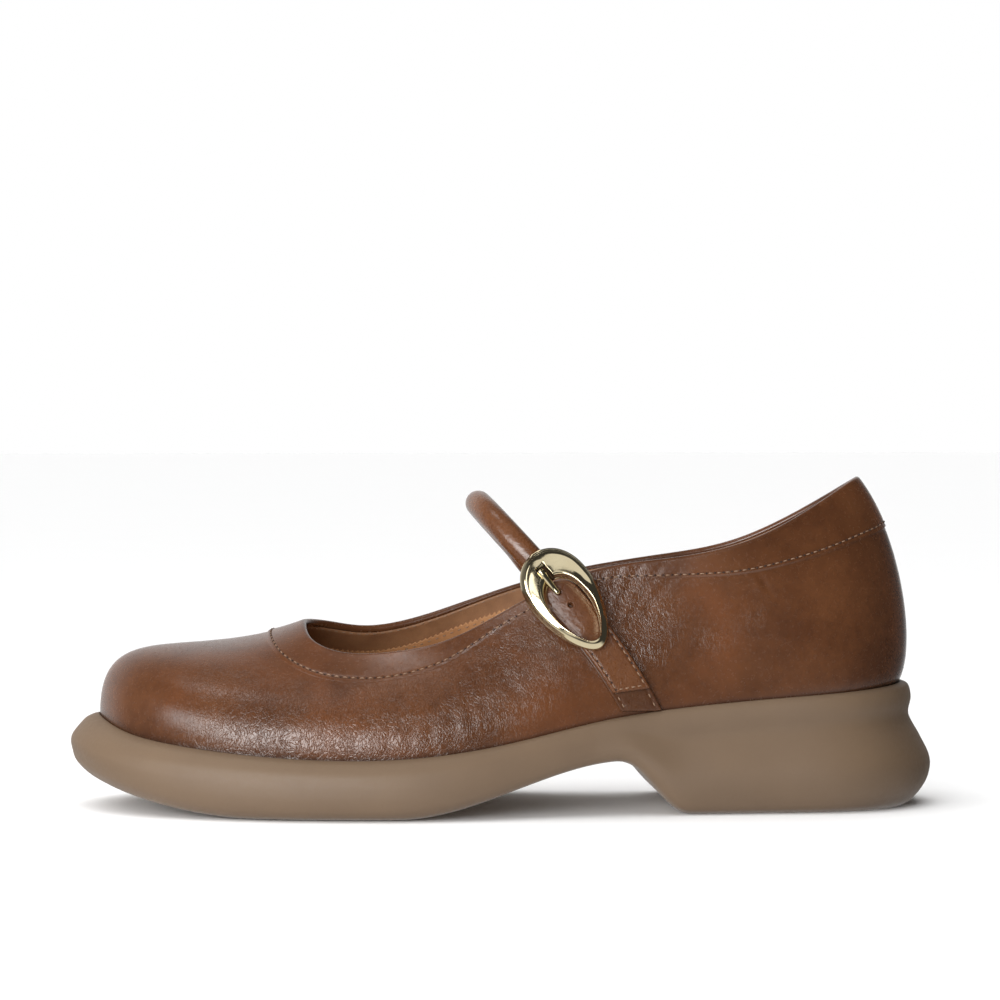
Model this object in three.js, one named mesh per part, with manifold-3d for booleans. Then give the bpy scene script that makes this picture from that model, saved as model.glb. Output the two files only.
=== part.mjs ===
// A left mary jane shoe with a round strap, a dished buckle and a moulded sole.
// X runs from the toe to the heel, -Y is the outer side of the foot, +Z is up, in millimetres.
import * as THREE from 'three';
import Module from 'manifold-3d';
import { mergeVertices } from 'three/addons/utils/BufferGeometryUtils.js';

const wasm = await Module();
wasm.setup();

// Last and upper
const LAST_LENGTH = 251;
const BALL_WIDTH = 88.6;
const THROAT_HEIGHT = 39.4;
const BACK_HEIGHT = 63.6;
const WALL = 1.9;
const BAND_WIDTH = 13;
const BAND_STEP = 0.5;

// Sole
const FOREFOOT_THICKNESS = 18.2;
const HEEL_THICKNESS = 38.2;
const TOE_LIP_RISE = 10.6;
const TOE_SPRING = 9;
const ARCH_HEIGHT = 16.7;
const TOE_BUMPER = 9.1;
const SIDE_EXTENSION = 6.2;
const HEEL_BUMPER = 10;
const SEAT_DEPTH = 3;
const INSOLE_THICKNESS = 4;

// Strap and tab
const STRAP_DIAMETER = 8;
const STRAP_RISE = 21.2;
const STRAP_LEAN = 19.4;
const STRAP_FULLNESS = 0.85;
const STRAP_REACH = 0.6;
const STRAP_TUCK = 1.3;
const ANCHOR_WIDTH = 17;
const ANCHOR_THICKNESS = 1.8;
const TAB_WIDTH = 10;
const TAB_END_WIDTH = 11.6;
const TAB_THICKNESS = 1.9;
const BASE_WIDTH = 11.4;
const BASE_THICKNESS = 1.2;
const HOLE_DIAMETER = 1.8;
const HOLE_SPACING = 5.4;
const HOLE_COUNT = 2;

// Buckle
const BUCKLE_LENGTH = 36.2;
const BUCKLE_WIDTH = 21;
const BUCKLE_HEIGHT = 3.2;
const RIM_WIDTH = 2.6;
const SIDE_WIDTH = 4.3;
const PLATE_WIDTH = 10;
const PRONG_WIDTH = 1.8;
const PRONG_LENGTH = 9.5;
const BUCKLE_LEAN = 35.5;
const BUCKLE_STANDOFF = 0.4;

// Fit
const CLEARANCE = 0.3;

const mix = (a, b, t) => a + (b - a) * t;
const clamp = (v) => Math.min(1, Math.max(0, v));
const ease = (v) => clamp(v) ** 2 * (3 - 2 * clamp(v));

// Turns rows of numbers into objects with named columns.
function table(columns, rows) {
  return rows.map((row) => Object.fromEntries(columns.map((name, i) => [name, row[i]])));
}

// Plan sections from toe to heel. Stations are shares of the last's length, half widths are shares
// of the ball width. lip and seat are shares of the toe lip's rise, rise is the share of the climb
// from forefoot to heel thickness, place picks the side profile and steps counts the facets.
const PLAN = table(
  ['station', 'lateral', 'medial', 'lip', 'seat', 'rise', 'place', 'steps'],
  [
    [0, -0.09, 0.09, 1, 0.6, 0, 0, 6],
    [0.035, 0.169, 0.305, 0.62, 0.45, 0, 0.35, 5],
    [0.1, 0.327, 0.412, 0.33, 0.27, 0, 0.8, 5],
    [0.19, 0.44, 0.468, 0.115, 0.1, 0, 1, 4],
    [0.29, 0.494, 0.489, 0, 0, 0, 1, 4],
    [0.4, 0.506, 0.44, 0, 0, 0.05, 1.15, 4],
    [0.51, 0.463, 0.361, 0, 0, 0.26, 1.6, 4],
    [0.62, 0.406, 0.316, 0, 0, 0.56, 2.1, 6],
    [0.73, 0.372, 0.319, 0, 0, 0.745, 2.8, 4],
    [0.84, 0.353, 0.342, 0, 0, 0.86, 3.05, 5],
    [0.94, 0.288, 0.293, 0, 0, 0.945, 3.6, 7],
    [1, 0, 0, 0, 0, 1, 4, 0],
  ],
);

// Topline and section shape at each plan section. top is a station, side a share of the ball
// width, lift a share of the upper's height and band a share of the band's width. The last four
// are shares of the section's chord: how far its curve leaves the foot outwards and upwards, and
// the topline outwards and downwards.
const SECTION_COLUMNS = [
  'top', 'side', 'lift', 'band', 'footOut', 'footUp', 'topOut', 'topDown',
];
const LATERAL = table(SECTION_COLUMNS, [
  [0.252, -0.045, 0.975, 0.8, 0, 0.47, 0.484, 0.2],
  [0.253, 0.028, 0.935, 0.78, 0.02, 0.46, 0.45, 0.2],
  [0.261, 0.124, 0.847, 0.74, 0.04, 0.45, 0.4, 0.21],
  [0.292, 0.212, 0.724, 0.66, 0.06, 0.42, 0.33, 0.22],
  [0.346, 0.271, 0.649, 0.6, 0.07, 0.38, 0.27, 0.24],
  [0.427, 0.31, 0.648, 0.5, 0.07, 0.35, 0.17, 0.28],
  [0.511, 0.327, 0.787, 0.2, 0.06, 0.33, 0.09, 0.3],
  [0.609, 0.322, 0.882, 0.14, 0.05, 0.32, 0.05, 0.31],
  [0.709, 0.316, 0.839, 0.38, 0.05, 0.32, 0.04, 0.31],
  [0.812, 0.293, 0.845, 0.66, 0.06, 0.3, 0.05, 0.3],
  [0.902, 0.175, 0.95, 1, 0.08, 0.22, 0.12, 0.28],
  [0.949, 0, 1, 1, 0.098, 0.16, 0.21, 0.262],
]);
const MEDIAL = table(SECTION_COLUMNS, [
  [0.252, -0.045, 0.975, 0.8, 0, 0.47, 0.484, 0.2],
  [0.2546, 0.107, 0.98, 0.78, 0, 0.47, 0.47, 0.18],
  [0.266, 0.181, 0.952, 0.74, 0.02, 0.46, 0.43, 0.19],
  [0.294, 0.248, 0.878, 0.66, 0.03, 0.44, 0.38, 0.2],
  [0.346, 0.293, 0.775, 0.6, 0.04, 0.41, 0.3, 0.22],
  [0.427, 0.316, 0.774, 0.5, 0.03, 0.38, 0.18, 0.28],
  [0.511, 0.322, 0.826, 0.2, 0.02, 0.35, 0.08, 0.31],
  [0.609, 0.322, 0.837, 0.14, 0.02, 0.33, 0.05, 0.31],
  [0.709, 0.31, 0.806, 0.38, 0.03, 0.32, 0.04, 0.31],
  [0.812, 0.293, 0.798, 0.66, 0.05, 0.3, 0.05, 0.3],
  [0.902, 0.192, 0.905, 1, 0.08, 0.22, 0.12, 0.28],
  [0.949, 0, 1, 1, 0.098, 0.16, 0.21, 0.262],
]);

// Side profile of the sole: rings from the rim down to the ground edge. Each pair of columns is the
// offset from the upper, as a share of the extension there, and the share of the local height.
const PLACES = ['toe', 'ball', 'arch', 'heel', 'back'];
const EXTENSIONS = [TOE_BUMPER, SIDE_EXTENSION, SIDE_EXTENSION, SIDE_EXTENSION, HEEL_BUMPER];
const SIDE_PROFILE = table(
  ['toe', 'toeHigh', 'ball', 'ballHigh', 'arch', 'archHigh', 'heel', 'heelHigh', 'back', 'backHigh'],
  [
    [0.24, 0.975, 0.2, 0.985, 0.15, 0.99, 0.15, 0.99, 0.12, 1],
    [0.5, 0.91, 0.5, 0.93, 0.3, 0.93, 0.28, 0.95, 0.31, 0.97],
    [0.8, 0.76, 0.84, 0.8, 0.42, 0.78, 0.33, 0.86, 0.39, 0.87],
    [0.95, 0.66, 0.96, 0.66, 0.5, 0.64, 0.3, 0.73, 0.32, 0.73],
    [1, 0.56, 1, 0.52, 0.55, 0.48, 0.6, 0.57, 0.66, 0.56],
    [0.95, 0.42, 0.95, 0.34, 0.58, 0.3, 0.92, 0.38, 0.99, 0.37],
    [0.8, 0.24, 0.74, 0.17, 0.52, 0.15, 0.9, 0.2, 0.9, 0.2],
    [0.32, 0.05, 0.3, 0.04, 0.3, 0.04, 0.52, 0.05, 0.52, 0.055],
    [-0.43, 0, -0.4, 0, -0.15, 0, 0.05, 0, 0.24, 0],
  ],
);

// Where the underside leaves the ground, as stations.
const TOE_LIFTS = 0.195;
const TOE_CURVE = 2.1;
const ARCH_STARTS = 0.362;
const ARCH_TOPS = 0.645;
const BREAST_STARTS = 0.635;
const BREAST_ENDS = 0.717;

// Stations of the topline's lowest place at the throat and of its top at the back.
const THROAT_STATION = 0.25;
const BACK_STATION = 0.95;

// Lines of the tab and the anchor in the side view, from their lower ends up, and the place of the
// buckle's middle: stations, and shares of the way from the sole to the topline.
const TAB_LINE = table(['station', 'share'], [
  [0.662, 0.005],
  [0.621, 0.477],
  [0.551, 1.04],
]);
const ANCHOR_LINE = table(['station', 'share'], [
  [0.606, 0.5],
  [0.584, 0.85],
  [0.555, 1.08],
]);
const BUCKLE_CENTRE = { station: 0.5745, share: 0.857 };

// Shares of the tab's line where its pieces start and end, and where its end begins to widen, and
// the share of the anchor's line where it begins to narrow.
const BASE_STARTS = 0.015;
const BASE_ENDS = 0.8;
const TAB_STARTS = 0.165;
const TAB_WIDENS = 0.4;
const ANCHOR_NARROWS = 0.35;

const stationX = (station) => (station - 0.5) * LAST_LENGTH;

// A smooth closed curve of numbers through values at rising knots, with continuous curvature.
function closedSpline(knots, values, period) {
  const count = knots.length;
  const gap = (i) => (i + 1 < count ? knots[i + 1] : knots[0] + period) - knots[i];
  const wrap = (i) => (i + count) % count;
  const rows = knots.map((_, i) => {
    const before = gap(wrap(i - 1));
    const after = gap(i);
    const row = new Array(count + 1).fill(0);
    row[wrap(i - 1)] += before;
    row[i] += 2 * (before + after);
    row[wrap(i + 1)] += after;
    const rise = (values[wrap(i + 1)] - values[i]) / after;
    row[count] = 6 * (rise - (values[i] - values[wrap(i - 1)]) / before);
    return row;
  });
  for (let i = 0; i < count; i++) {
    for (let j = i + 1; j < count; j++) {
      const share = rows[j][i] / rows[i][i];
      for (let k = i; k <= count; k++) rows[j][k] -= share * rows[i][k];
    }
  }
  const bend = new Array(count).fill(0);
  for (let i = count - 1; i >= 0; i--) {
    let sum = rows[i][count];
    for (let j = i + 1; j < count; j++) sum -= rows[i][j] * bend[j];
    bend[i] = sum / rows[i][i];
  }
  return (u) => {
    const at = ((u % period) + period) % period;
    let i = count - 1;
    while (i > 0 && knots[i] > at) i--;
    const length = gap(i);
    const t = (at - knots[i]) / length;
    const next = wrap(i + 1);
    const curve = ((1 - t) ** 3 - (1 - t)) * bend[i] + (t ** 3 - t) * bend[next];
    return mix(values[i], values[next], t) + (curve * length ** 2) / 6;
  };
}

// One section of the upper at a plan section: its foot on the sole, its topline point and the two
// handles of the curve between them.
function section(plan, shape, side) {
  const half = side < 0 ? plan.lateral : plan.medial;
  const climb = (HEEL_THICKNESS - FOREFOOT_THICKNESS) * plan.rise;
  const joint = FOREFOOT_THICKNESS + climb + TOE_LIP_RISE * plan.lip;
  const foot = new THREE.Vector3(stationX(plan.station), side * half * BALL_WIDTH, joint);
  const back = (shape.top - THROAT_STATION) / (BACK_STATION - THROAT_STATION);
  const level = mix(FOREFOOT_THICKNESS, HEEL_THICKNESS, back);
  const lift = shape.lift * mix(THROAT_HEIGHT, BACK_HEIGHT, back);
  const top = new THREE.Vector3(stationX(shape.top), side * shape.side * BALL_WIDTH, level + lift);
  const chord = top.distanceTo(foot);
  const away = new THREE.Vector3(foot.x - top.x, foot.y - top.y, 0).normalize();
  const topHandle = away.clone().multiplyScalar(shape.topOut * chord);
  topHandle.z = -shape.topDown * chord;
  return {
    foot,
    top,
    topHandle,
    footOut: shape.footOut * chord,
    footUp: shape.footUp * chord,
    band: shape.band * BAND_WIDTH,
    floor: joint - SEAT_DEPTH - TOE_LIP_RISE * (plan.lip - plan.seat),
    place: plan.place,
  };
}

// The sections once around the shoe: outer side from toe to heel, then inner side back again.
const LAST_ROW = PLAN.length - 1;
const outward = PLAN.map((plan, i) => section(plan, LATERAL[i], -1));
const inward = PLAN.map((plan, i) => section(plan, MEDIAL[i], 1));
const SECTIONS = [...outward, ...inward.slice(1, LAST_ROW).reverse()];

// Knots: both sides share the mean length of their feet's steps, so they pair up row by row.
const rowKnots = [0];
for (let i = 1; i <= LAST_ROW; i++) {
  const outerStep = outward[i].foot.distanceTo(outward[i - 1].foot);
  const innerStep = inward[i].foot.distanceTo(inward[i - 1].foot);
  rowKnots.push(rowKnots[i - 1] + (outerStep + innerStep) / 2);
}
const HALF_TURN = rowKnots[LAST_ROW];
const TURN = 2 * HALF_TURN;
const KNOTS = [...rowKnots, ...rowKnots.slice(1, LAST_ROW).reverse().map((knot) => TURN - knot)];

const follow = (pick) => closedSpline(KNOTS, SECTIONS.map(pick), TURN);
const followPoint = (pick) => {
  const [x, y, z] = ['x', 'y', 'z'].map((axis) => follow((row) => pick(row)[axis]));
  return (u) => new THREE.Vector3(x(u), y(u), z(u));
};
const footAt = followPoint((row) => row.foot);
const topAt = followPoint((row) => row.top);
const topHandleAt = followPoint((row) => row.topHandle);
const footOutAt = follow((row) => row.footOut);
const footUpAt = follow((row) => row.footUp);
const bandAt = follow((row) => row.band);
const placeAt = follow((row) => row.place);
const floorAt = follow((row) => row.floor);

// Level normal of the foot line, pointing away from the foot.
function planNormal(u) {
  const reach = 0.5;
  const along = footAt(u + reach).sub(footAt(u - reach));
  return new THREE.Vector3(along.y, -along.x, 0).normalize();
}

// Outer surface of the upper: u runs around the shoe, t from the sole to the topline.
function upperPoint(u, t) {
  const foot = footAt(u);
  const low = planNormal(u).multiplyScalar(footOutAt(u)).add(foot);
  low.z += footUpAt(u);
  const top = topAt(u);
  const high = topHandleAt(u).add(top);
  const s = 1 - t;
  return foot
    .multiplyScalar(s ** 3)
    .addScaledVector(low, 3 * s * s * t)
    .addScaledVector(high, 3 * s * t * t)
    .addScaledVector(top, t ** 3);
}

function upperNormal(u, t) {
  const along = upperPoint(u + 0.3, t).sub(upperPoint(u - 0.3, t));
  const up = upperPoint(u, t + 0.01).sub(upperPoint(u, t - 0.01));
  return along.cross(up).normalize();
}

const offUpper = (u, t, lift) => upperPoint(u, t).addScaledVector(upperNormal(u, t), lift);

// The t where the topline band begins, found by walking down from the topline.
function bandStart(u) {
  const depth = bandAt(u);
  const step = 0.01;
  let t = 1;
  let walked = 0;
  while (walked < depth) {
    walked += upperPoint(u, t).distanceTo(upperPoint(u, t - step));
    t -= step;
  }
  return t;
}

// Places around the shoe: the outer side's facets from toe to heel, then the inner side's back.
const SIDE_STEPS = [];
for (let i = 0; i < LAST_ROW; i++) {
  for (let k = 0; k < PLAN[i].steps; k++) {
    SIDE_STEPS.push(mix(rowKnots[i], rowKnots[i + 1], k / PLAN[i].steps));
  }
}
const RETURN_STEPS = SIDE_STEPS.slice(1).reverse().map((u) => TURN - u);
const AROUND = [...SIDE_STEPS, HALF_TURN, ...RETURN_STEPS];

// A closed solid through rings of points. The rings' ends are joined to each other when looped,
// and otherwise capped by facets across each ring.
function loft(rings, looped = false) {
  const count = rings[0].length;
  const faces = [];
  const quad = (a, b, c, d) => faces.push(a, b, c, a, c, d);
  const last = looped ? rings.length : rings.length - 1;
  for (let k = 0; k < last; k++) {
    const here = k * count;
    const there = ((k + 1) % rings.length) * count;
    for (let i = 0; i < count; i++) {
      const next = (i + 1) % count;
      quad(here + i, there + i, there + next, here + next);
    }
  }
  const across = (start, flip) => {
    for (let i = 0; i < count / 2; i++) {
      const cell = [i, i + 1, count - i - 1, (count - i) % count].map((k) => start + k);
      const [a, b, c, d] = flip ? cell.reverse() : cell;
      if (a !== d && b !== c) quad(a, b, c, d);
      else faces.push(...new Set([a, b, c, d]));
    }
  };
  if (!looped) {
    across(0, false);
    across((rings.length - 1) * count, true);
  }
  const geometry = new THREE.BufferGeometry();
  const positions = rings.flat().flatMap((point) => point.toArray());
  geometry.setAttribute('position', new THREE.Float32BufferAttribute(positions, 3));
  geometry.setIndex(faces);
  geometry.computeVertexNormals();
  return geometry;
}

// The upper's wall: up its inside, over the folded topline and down its outside with the band.
function upperGeometry() {
  const insideSteps = 7;
  const outsideSteps = 8;
  const bandSteps = 2;
  const underBand = 0.012;
  const narrowBand = BAND_STEP * 4;
  const fullBand = narrowBand + BAND_WIDTH / 3;
  const bands = AROUND.map(bandStart);
  const ring = (place) => AROUND.map((u, i) => place(u, bands[i]));
  const footRing = (inset) =>
    ring((u) => {
      const point = footAt(u).addScaledVector(planNormal(u), -inset);
      point.z = floorAt(u) + CLEARANCE;
      return point;
    });
  const bandLift = (u) => BAND_STEP * ease((bandAt(u) - narrowBand) / (fullBand - narrowBand));
  const rings = [footRing(WALL)];
  for (let k = 0; k <= insideSteps; k++) {
    rings.push(ring((u) => offUpper(u, k / insideSteps, -WALL)));
  }
  rings.push(ring((u) => {
    const edge = offUpper(u, 1, (bandLift(u) - WALL) / 2);
    edge.z += WALL / 4;
    return edge;
  }));
  for (let k = bandSteps; k >= 0; k--) {
    rings.push(ring((u, band) => offUpper(u, mix(band, 1, k / bandSteps), bandLift(u))));
  }
  for (let k = outsideSteps; k >= 0; k--) {
    rings.push(ring((u, band) => offUpper(u, ((band - underBand) * k) / outsideSteps, 0)));
  }
  rings.push(footRing(0));
  return loft(rings, true);
}

// Underside of the sole along its length: toe spring, forefoot flat, arch and heel flat.
function underside(x) {
  const station = x / LAST_LENGTH + 0.5;
  const toe = (Math.max(0, TOE_LIFTS - station) / TOE_LIFTS) ** TOE_CURVE;
  const arch = ease((station - ARCH_STARTS) / (ARCH_TOPS - ARCH_STARTS));
  const breast = ease((station - BREAST_STARTS) / (BREAST_ENDS - BREAST_STARTS));
  return TOE_SPRING * toe + ARCH_HEIGHT * arch * (1 - breast);
}

// A column of the side profile at u, blended between the two nearest places.
function profileAt(u, row) {
  const place = Math.min(PLACES.length - 1.001, Math.max(0, placeAt(u)));
  const first = Math.floor(place);
  const [from, to] = [PLACES[first], PLACES[first + 1]];
  const share = place - first;
  const reach = mix(row[from] * EXTENSIONS[first], row[to] * EXTENSIONS[first + 1], share);
  return { reach, high: mix(row[`${from}High`], row[`${to}High`], share) };
}

function soleGeometry() {
  const wallRing = (height) =>
    AROUND.map((u) => {
      const point = footAt(u).addScaledVector(planNormal(u), CLEARANCE);
      point.z = height(u);
      return point;
    });
  const rings = [wallRing(floorAt), wallRing((u) => footAt(u).z)];
  for (const row of SIDE_PROFILE) {
    rings.push(AROUND.map((u) => {
      const { reach, high } = profileAt(u, row);
      const foot = footAt(u);
      const point = foot.clone().addScaledVector(planNormal(u), reach);
      const low = high > 0 ? underside(foot.x) : underside(point.x);
      point.z = mix(low, foot.z, high);
      return point;
    }));
  }
  return loft(rings);
}

function insoleGeometry() {
  const edge = INSOLE_THICKNESS / 4;
  const slack = CLEARANCE / 2;
  const ring = (inset, height) =>
    AROUND.map((u) => {
      const point = footAt(u).addScaledVector(planNormal(u), -WALL - CLEARANCE - inset);
      point.z = floorAt(u) + CLEARANCE + height;
      return point;
    });
  return loft([
    ring(edge, INSOLE_THICKNESS),
    ring(slack, INSOLE_THICKNESS - edge),
    ring(slack, 0),
  ]);
}

const SEARCH_ROUNDS = 30;

// The surface place (u, t) seen at x and z from one side, by Newton steps.
function onUpper(x, z, side) {
  const reach = 0.01;
  const longestU = 20;
  const longestT = 0.3;
  let u = side < 0 ? HALF_TURN / 2 : TURN - HALF_TURN / 2;
  let t = 0.5;
  for (let round = 0; round < SEARCH_ROUNDS; round++) {
    const at = upperPoint(u, t);
    const du = upperPoint(u + reach, t).sub(at).divideScalar(reach);
    const dt = upperPoint(u, t + reach).sub(at).divideScalar(reach);
    const [missX, missZ] = [x - at.x, z - at.z];
    const area = du.x * dt.z - du.z * dt.x;
    const stepU = (missX * dt.z - missZ * dt.x) / area;
    const stepT = (missZ * du.x - missX * du.z) / area;
    u += Math.min(longestU, Math.max(-longestU, stepU));
    t += Math.min(longestT, Math.max(-longestT, stepT));
  }
  return { u, t };
}

// The foot's u on one side at a station.
function footU(station, side) {
  let [low, high] = [0, HALF_TURN];
  for (let round = 0; round < SEARCH_ROUNDS; round++) {
    const middle = (low + high) / 2;
    if (footAt(side < 0 ? middle : TURN - middle).x < stationX(station)) low = middle;
    else high = middle;
  }
  return side < 0 ? low : TURN - low;
}

// A place in the side view: a station, and a share of the way from the sole to the topline.
function sidePlace({ station, share }, side) {
  const u = footU(station, side);
  return new THREE.Vector2(stationX(station), mix(footAt(u).z, topAt(u).z, share));
}

// A strap of leather lying on the upper along a line of the side view, from its lower end up.
// halfWidth gives half its width at a share of the line and lift its clearance off the upper. Its
// lower end is cut level, and from squareFrom on its sides stand square to the line.
function stripGeometry({ line, side, stops, halfWidth, lift, thickness }) {
  const across = 4;
  const squareFrom = 0.5;
  const rings = stops.map((stop) => {
    const centre = line.getPointAt(stop);
    const along = line.getTangentAt(stop);
    const square = new THREE.Vector2(along.y, -along.x);
    const level = new THREE.Vector2(1 / along.y, 0);
    const sideways = level.lerp(square, ease(stop / squareFrom));
    const half = halfWidth(stop);
    const places = Array.from({ length: across + 1 }, (_, k) => {
      const place = centre.clone().addScaledVector(sideways, mix(-half, half, k / across));
      const sole = footAt(footU(place.x / LAST_LENGTH + 0.5, side)).z;
      return onUpper(place.x, Math.max(place.y, sole + CLEARANCE), side);
    });
    const bottom = places.map(({ u, t }) => offUpper(u, t, lift));
    const top = places.map(({ u, t }) => offUpper(u, t, lift + thickness));
    return side < 0 ? [...bottom, ...top.reverse()] : [...top, ...bottom.reverse()];
  });
  return loft(rings);
}

const spread = (count, from, to) =>
  Array.from({ length: count + 1 }, (_, k) => mix(from, to, k / count));

// Tab with its rounded end, and the base strip below it
const tabLine = new THREE.QuadraticBezierCurve(...TAB_LINE.map((row) => sidePlace(row, -1)));
const tabLength = tabLine.getLength();
const TAB_LIFT = CLEARANCE + BASE_THICKNESS + CLEARANCE;

function tabGeometry() {
  const tipStart = 1 - TAB_END_WIDTH / 2 / tabLength;
  const halfWidth = (stop) => {
    const into = clamp((stop - tipStart) / (1 - tipStart));
    const widening = ease((stop - TAB_WIDENS) / (tipStart - TAB_WIDENS));
    return (mix(TAB_WIDTH, TAB_END_WIDTH, widening) / 2) * Math.sqrt(1 - into ** 2);
  };
  const straightSteps = 9;
  const roundSteps = 5;
  const lastShare = 0.89;
  const roundEnd = spread(roundSteps, 1 / roundSteps, lastShare)
    .map((share) => mix(tipStart, 1, Math.sin((share * Math.PI) / 2)));
  return stripGeometry({
    line: tabLine,
    side: -1,
    stops: [...spread(straightSteps, TAB_STARTS, tipStart), ...roundEnd],
    halfWidth,
    lift: TAB_LIFT,
    thickness: TAB_THICKNESS,
  });
}

function baseGeometry() {
  return stripGeometry({
    line: tabLine,
    side: -1,
    stops: spread(7, BASE_STARTS, BASE_ENDS),
    halfWidth: () => BASE_WIDTH / 2,
    lift: CLEARANCE,
    thickness: BASE_THICKNESS,
  });
}

// Anchor of the strap on the inner side, narrowing to the strap at its top
const anchorLine = new THREE.QuadraticBezierCurve(...ANCHOR_LINE.map((row) => sidePlace(row, 1)));
function anchorGeometry() {
  const narrowing = (stop) => ease((stop - ANCHOR_NARROWS) / (1 - ANCHOR_NARROWS));
  return stripGeometry({
    line: anchorLine,
    side: 1,
    stops: spread(9, 0, 1),
    halfWidth: (stop) => mix(ANCHOR_WIDTH, STRAP_DIAMETER, narrowing(stop)) / 2,
    lift: CLEARANCE,
    thickness: ANCHOR_THICKNESS,
  });
}

// Buckle frame: its own axes lie in the plane that touches the upper behind it.
const BUCKLE_PLACE = sidePlace(BUCKLE_CENTRE, -1);
const behind = onUpper(BUCKLE_PLACE.x, BUCKLE_PLACE.y, -1);
const BUCKLE_OUT = upperNormal(behind.u, behind.t);
const buckleLean = THREE.MathUtils.degToRad(BUCKLE_LEAN);
const BUCKLE_ALONG = new THREE.Vector3(Math.sin(buckleLean), 0, -Math.cos(buckleLean))
  .projectOnPlane(BUCKLE_OUT)
  .normalize();
const BUCKLE_ACROSS = BUCKLE_ALONG.clone().cross(BUCKLE_OUT);
const BUCKLE_LIFT = TAB_LIFT + TAB_THICKNESS + CLEARANCE + BUCKLE_STANDOFF;

// A point by its distances along, across and out of the buckle's back plane.
const onBuckle = (along, across, out) =>
  upperPoint(behind.u, behind.t)
    .addScaledVector(BUCKLE_ALONG, along)
    .addScaledVector(BUCKLE_ACROSS, across)
    .addScaledVector(BUCKLE_OUT, BUCKLE_LIFT + out);

// Egg outlines of the frame and of its opening, wide end at the front.
function egg(angle, { centre, length, width, taper }) {
  const [c, s] = [Math.cos(angle), Math.sin(angle)];
  return [centre + (length / 2) * c, (width / 2) * s * (1 - taper * c)];
}
const OUTER_EGG = { centre: 0, length: BUCKLE_LENGTH, width: BUCKLE_WIDTH, taper: 0.24 };
const OPENING_LENGTH = BUCKLE_LENGTH - RIM_WIDTH - PLATE_WIDTH;
const OPENING_EGG = {
  centre: (PLATE_WIDTH - RIM_WIDTH) / 2,
  length: OPENING_LENGTH,
  width: BUCKLE_WIDTH - 2 * SIDE_WIDTH,
  taper: 0.12,
};

// Cross section of the frame: share of the way inwards, and height as a share of the frame's.
const FRAME_SECTION = table(['inward', 'high'], [
  [0.04, 0],
  [0, 0.4],
  [0.1, 0.86],
  [0.24, 1],
  [0.4, 0.9],
  [0.6, 0.6],
  [0.84, 0.42],
  [1, 0.3],
  [0.98, 0],
]);

function frameGeometry() {
  const steps = 44;
  const rings = Array.from({ length: steps }, (_, k) => {
    const angle = (-2 * Math.PI * k) / steps;
    const [outerAlong, outerAcross] = egg(angle, OUTER_EGG);
    const [innerAlong, innerAcross] = egg(angle, OPENING_EGG);
    return FRAME_SECTION.map(({ inward, high }) =>
      onBuckle(
        mix(outerAlong, innerAlong, inward),
        mix(outerAcross, innerAcross, inward),
        high * BUCKLE_HEIGHT,
      ),
    );
  });
  return loft(rings, true);
}

// Rings of the prong: share of its length, thickness as a share of its width, and height of its
// underside as a share of the frame's.
const PRONG_RINGS = table(['along', 'thick', 'high'], [
  [0, 0.7, 1],
  [0.06, 0.98, 0.995],
  [0.3, 0.91, 0.9],
  [0.6, 0.82, 0.71],
  [0.9, 0.73, 0.56],
  [1, 0.49, 0.55],
]);

// Prong: a slim tapered bar from the plate down into the tab's first hole.
function prongGeometry() {
  const facets = 8;
  const start = -BUCKLE_LENGTH / 2 + RIM_WIDTH + PRONG_WIDTH;
  return loft(PRONG_RINGS.map(({ along, thick, high }) => {
    const half = (thick * PRONG_WIDTH) / 2;
    const middleHeight = high * BUCKLE_HEIGHT + CLEARANCE + half;
    return Array.from({ length: facets }, (_, k) => {
      const angle = (2 * Math.PI * k) / facets;
      return onBuckle(
        start + along * PRONG_LENGTH,
        half * Math.cos(angle),
        middleHeight + half * Math.sin(angle),
      );
    });
  }));
}

// Strap: a round cord of leather over the instep, from behind the buckle to the anchor.
function strapGeometry() {
  const radius = STRAP_DIAMETER / 2;
  const behindPlate = -BUCKLE_LENGTH / 2 + STRAP_REACH * PLATE_WIDTH;
  const outerEnd = onBuckle(behindPlate, 0, -CLEARANCE - STRAP_TUCK * radius);
  const endGap = 3 * CLEARANCE;
  const beyond = anchorLine.getTangentAt(1).multiplyScalar(endGap).add(anchorLine.getPointAt(1));
  const { u, t } = onUpper(beyond.x, beyond.y, 1);
  const innerEnd = offUpper(u, t, CLEARANCE + ANCHOR_THICKNESS / 2);
  const points = spread(16, 0, 1).map((share) => {
    const angle = share * Math.PI;
    const point = outerEnd.clone().lerp(innerEnd, (1 - Math.cos(angle)) / 2);
    const rise = Math.sin(angle) ** STRAP_FULLNESS;
    point.x += -STRAP_LEAN * rise;
    point.z += STRAP_RISE * rise;
    return point;
  });
  const circle = new THREE.Shape().absarc(0, 0, radius, 0, 2 * Math.PI);
  return new THREE.ExtrudeGeometry(circle, {
    curveSegments: 5,
    steps: 40,
    bevelEnabled: false,
    extrudePath: new THREE.CatmullRomCurve3(points),
  });
}

// Cutting the tab's holes
function solid(geometry) {
  const bare = geometry.clone();
  bare.deleteAttribute('normal');
  bare.deleteAttribute('uv');
  const merged = mergeVertices(bare, 1e-4);
  const vertProperties = new Float32Array(merged.attributes.position.array);
  const triVerts = new Uint32Array(merged.index.array);
  return new wasm.Manifold(new wasm.Mesh({ numProp: 3, vertProperties, triVerts }));
}

function geometryOf(manifold) {
  const { vertProperties, triVerts } = manifold.getMesh();
  const geometry = new THREE.BufferGeometry();
  geometry.setAttribute('position', new THREE.BufferAttribute(vertProperties, 3));
  geometry.setIndex(new THREE.BufferAttribute(triVerts, 1));
  geometry.computeVertexNormals();
  return geometry;
}

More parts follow.
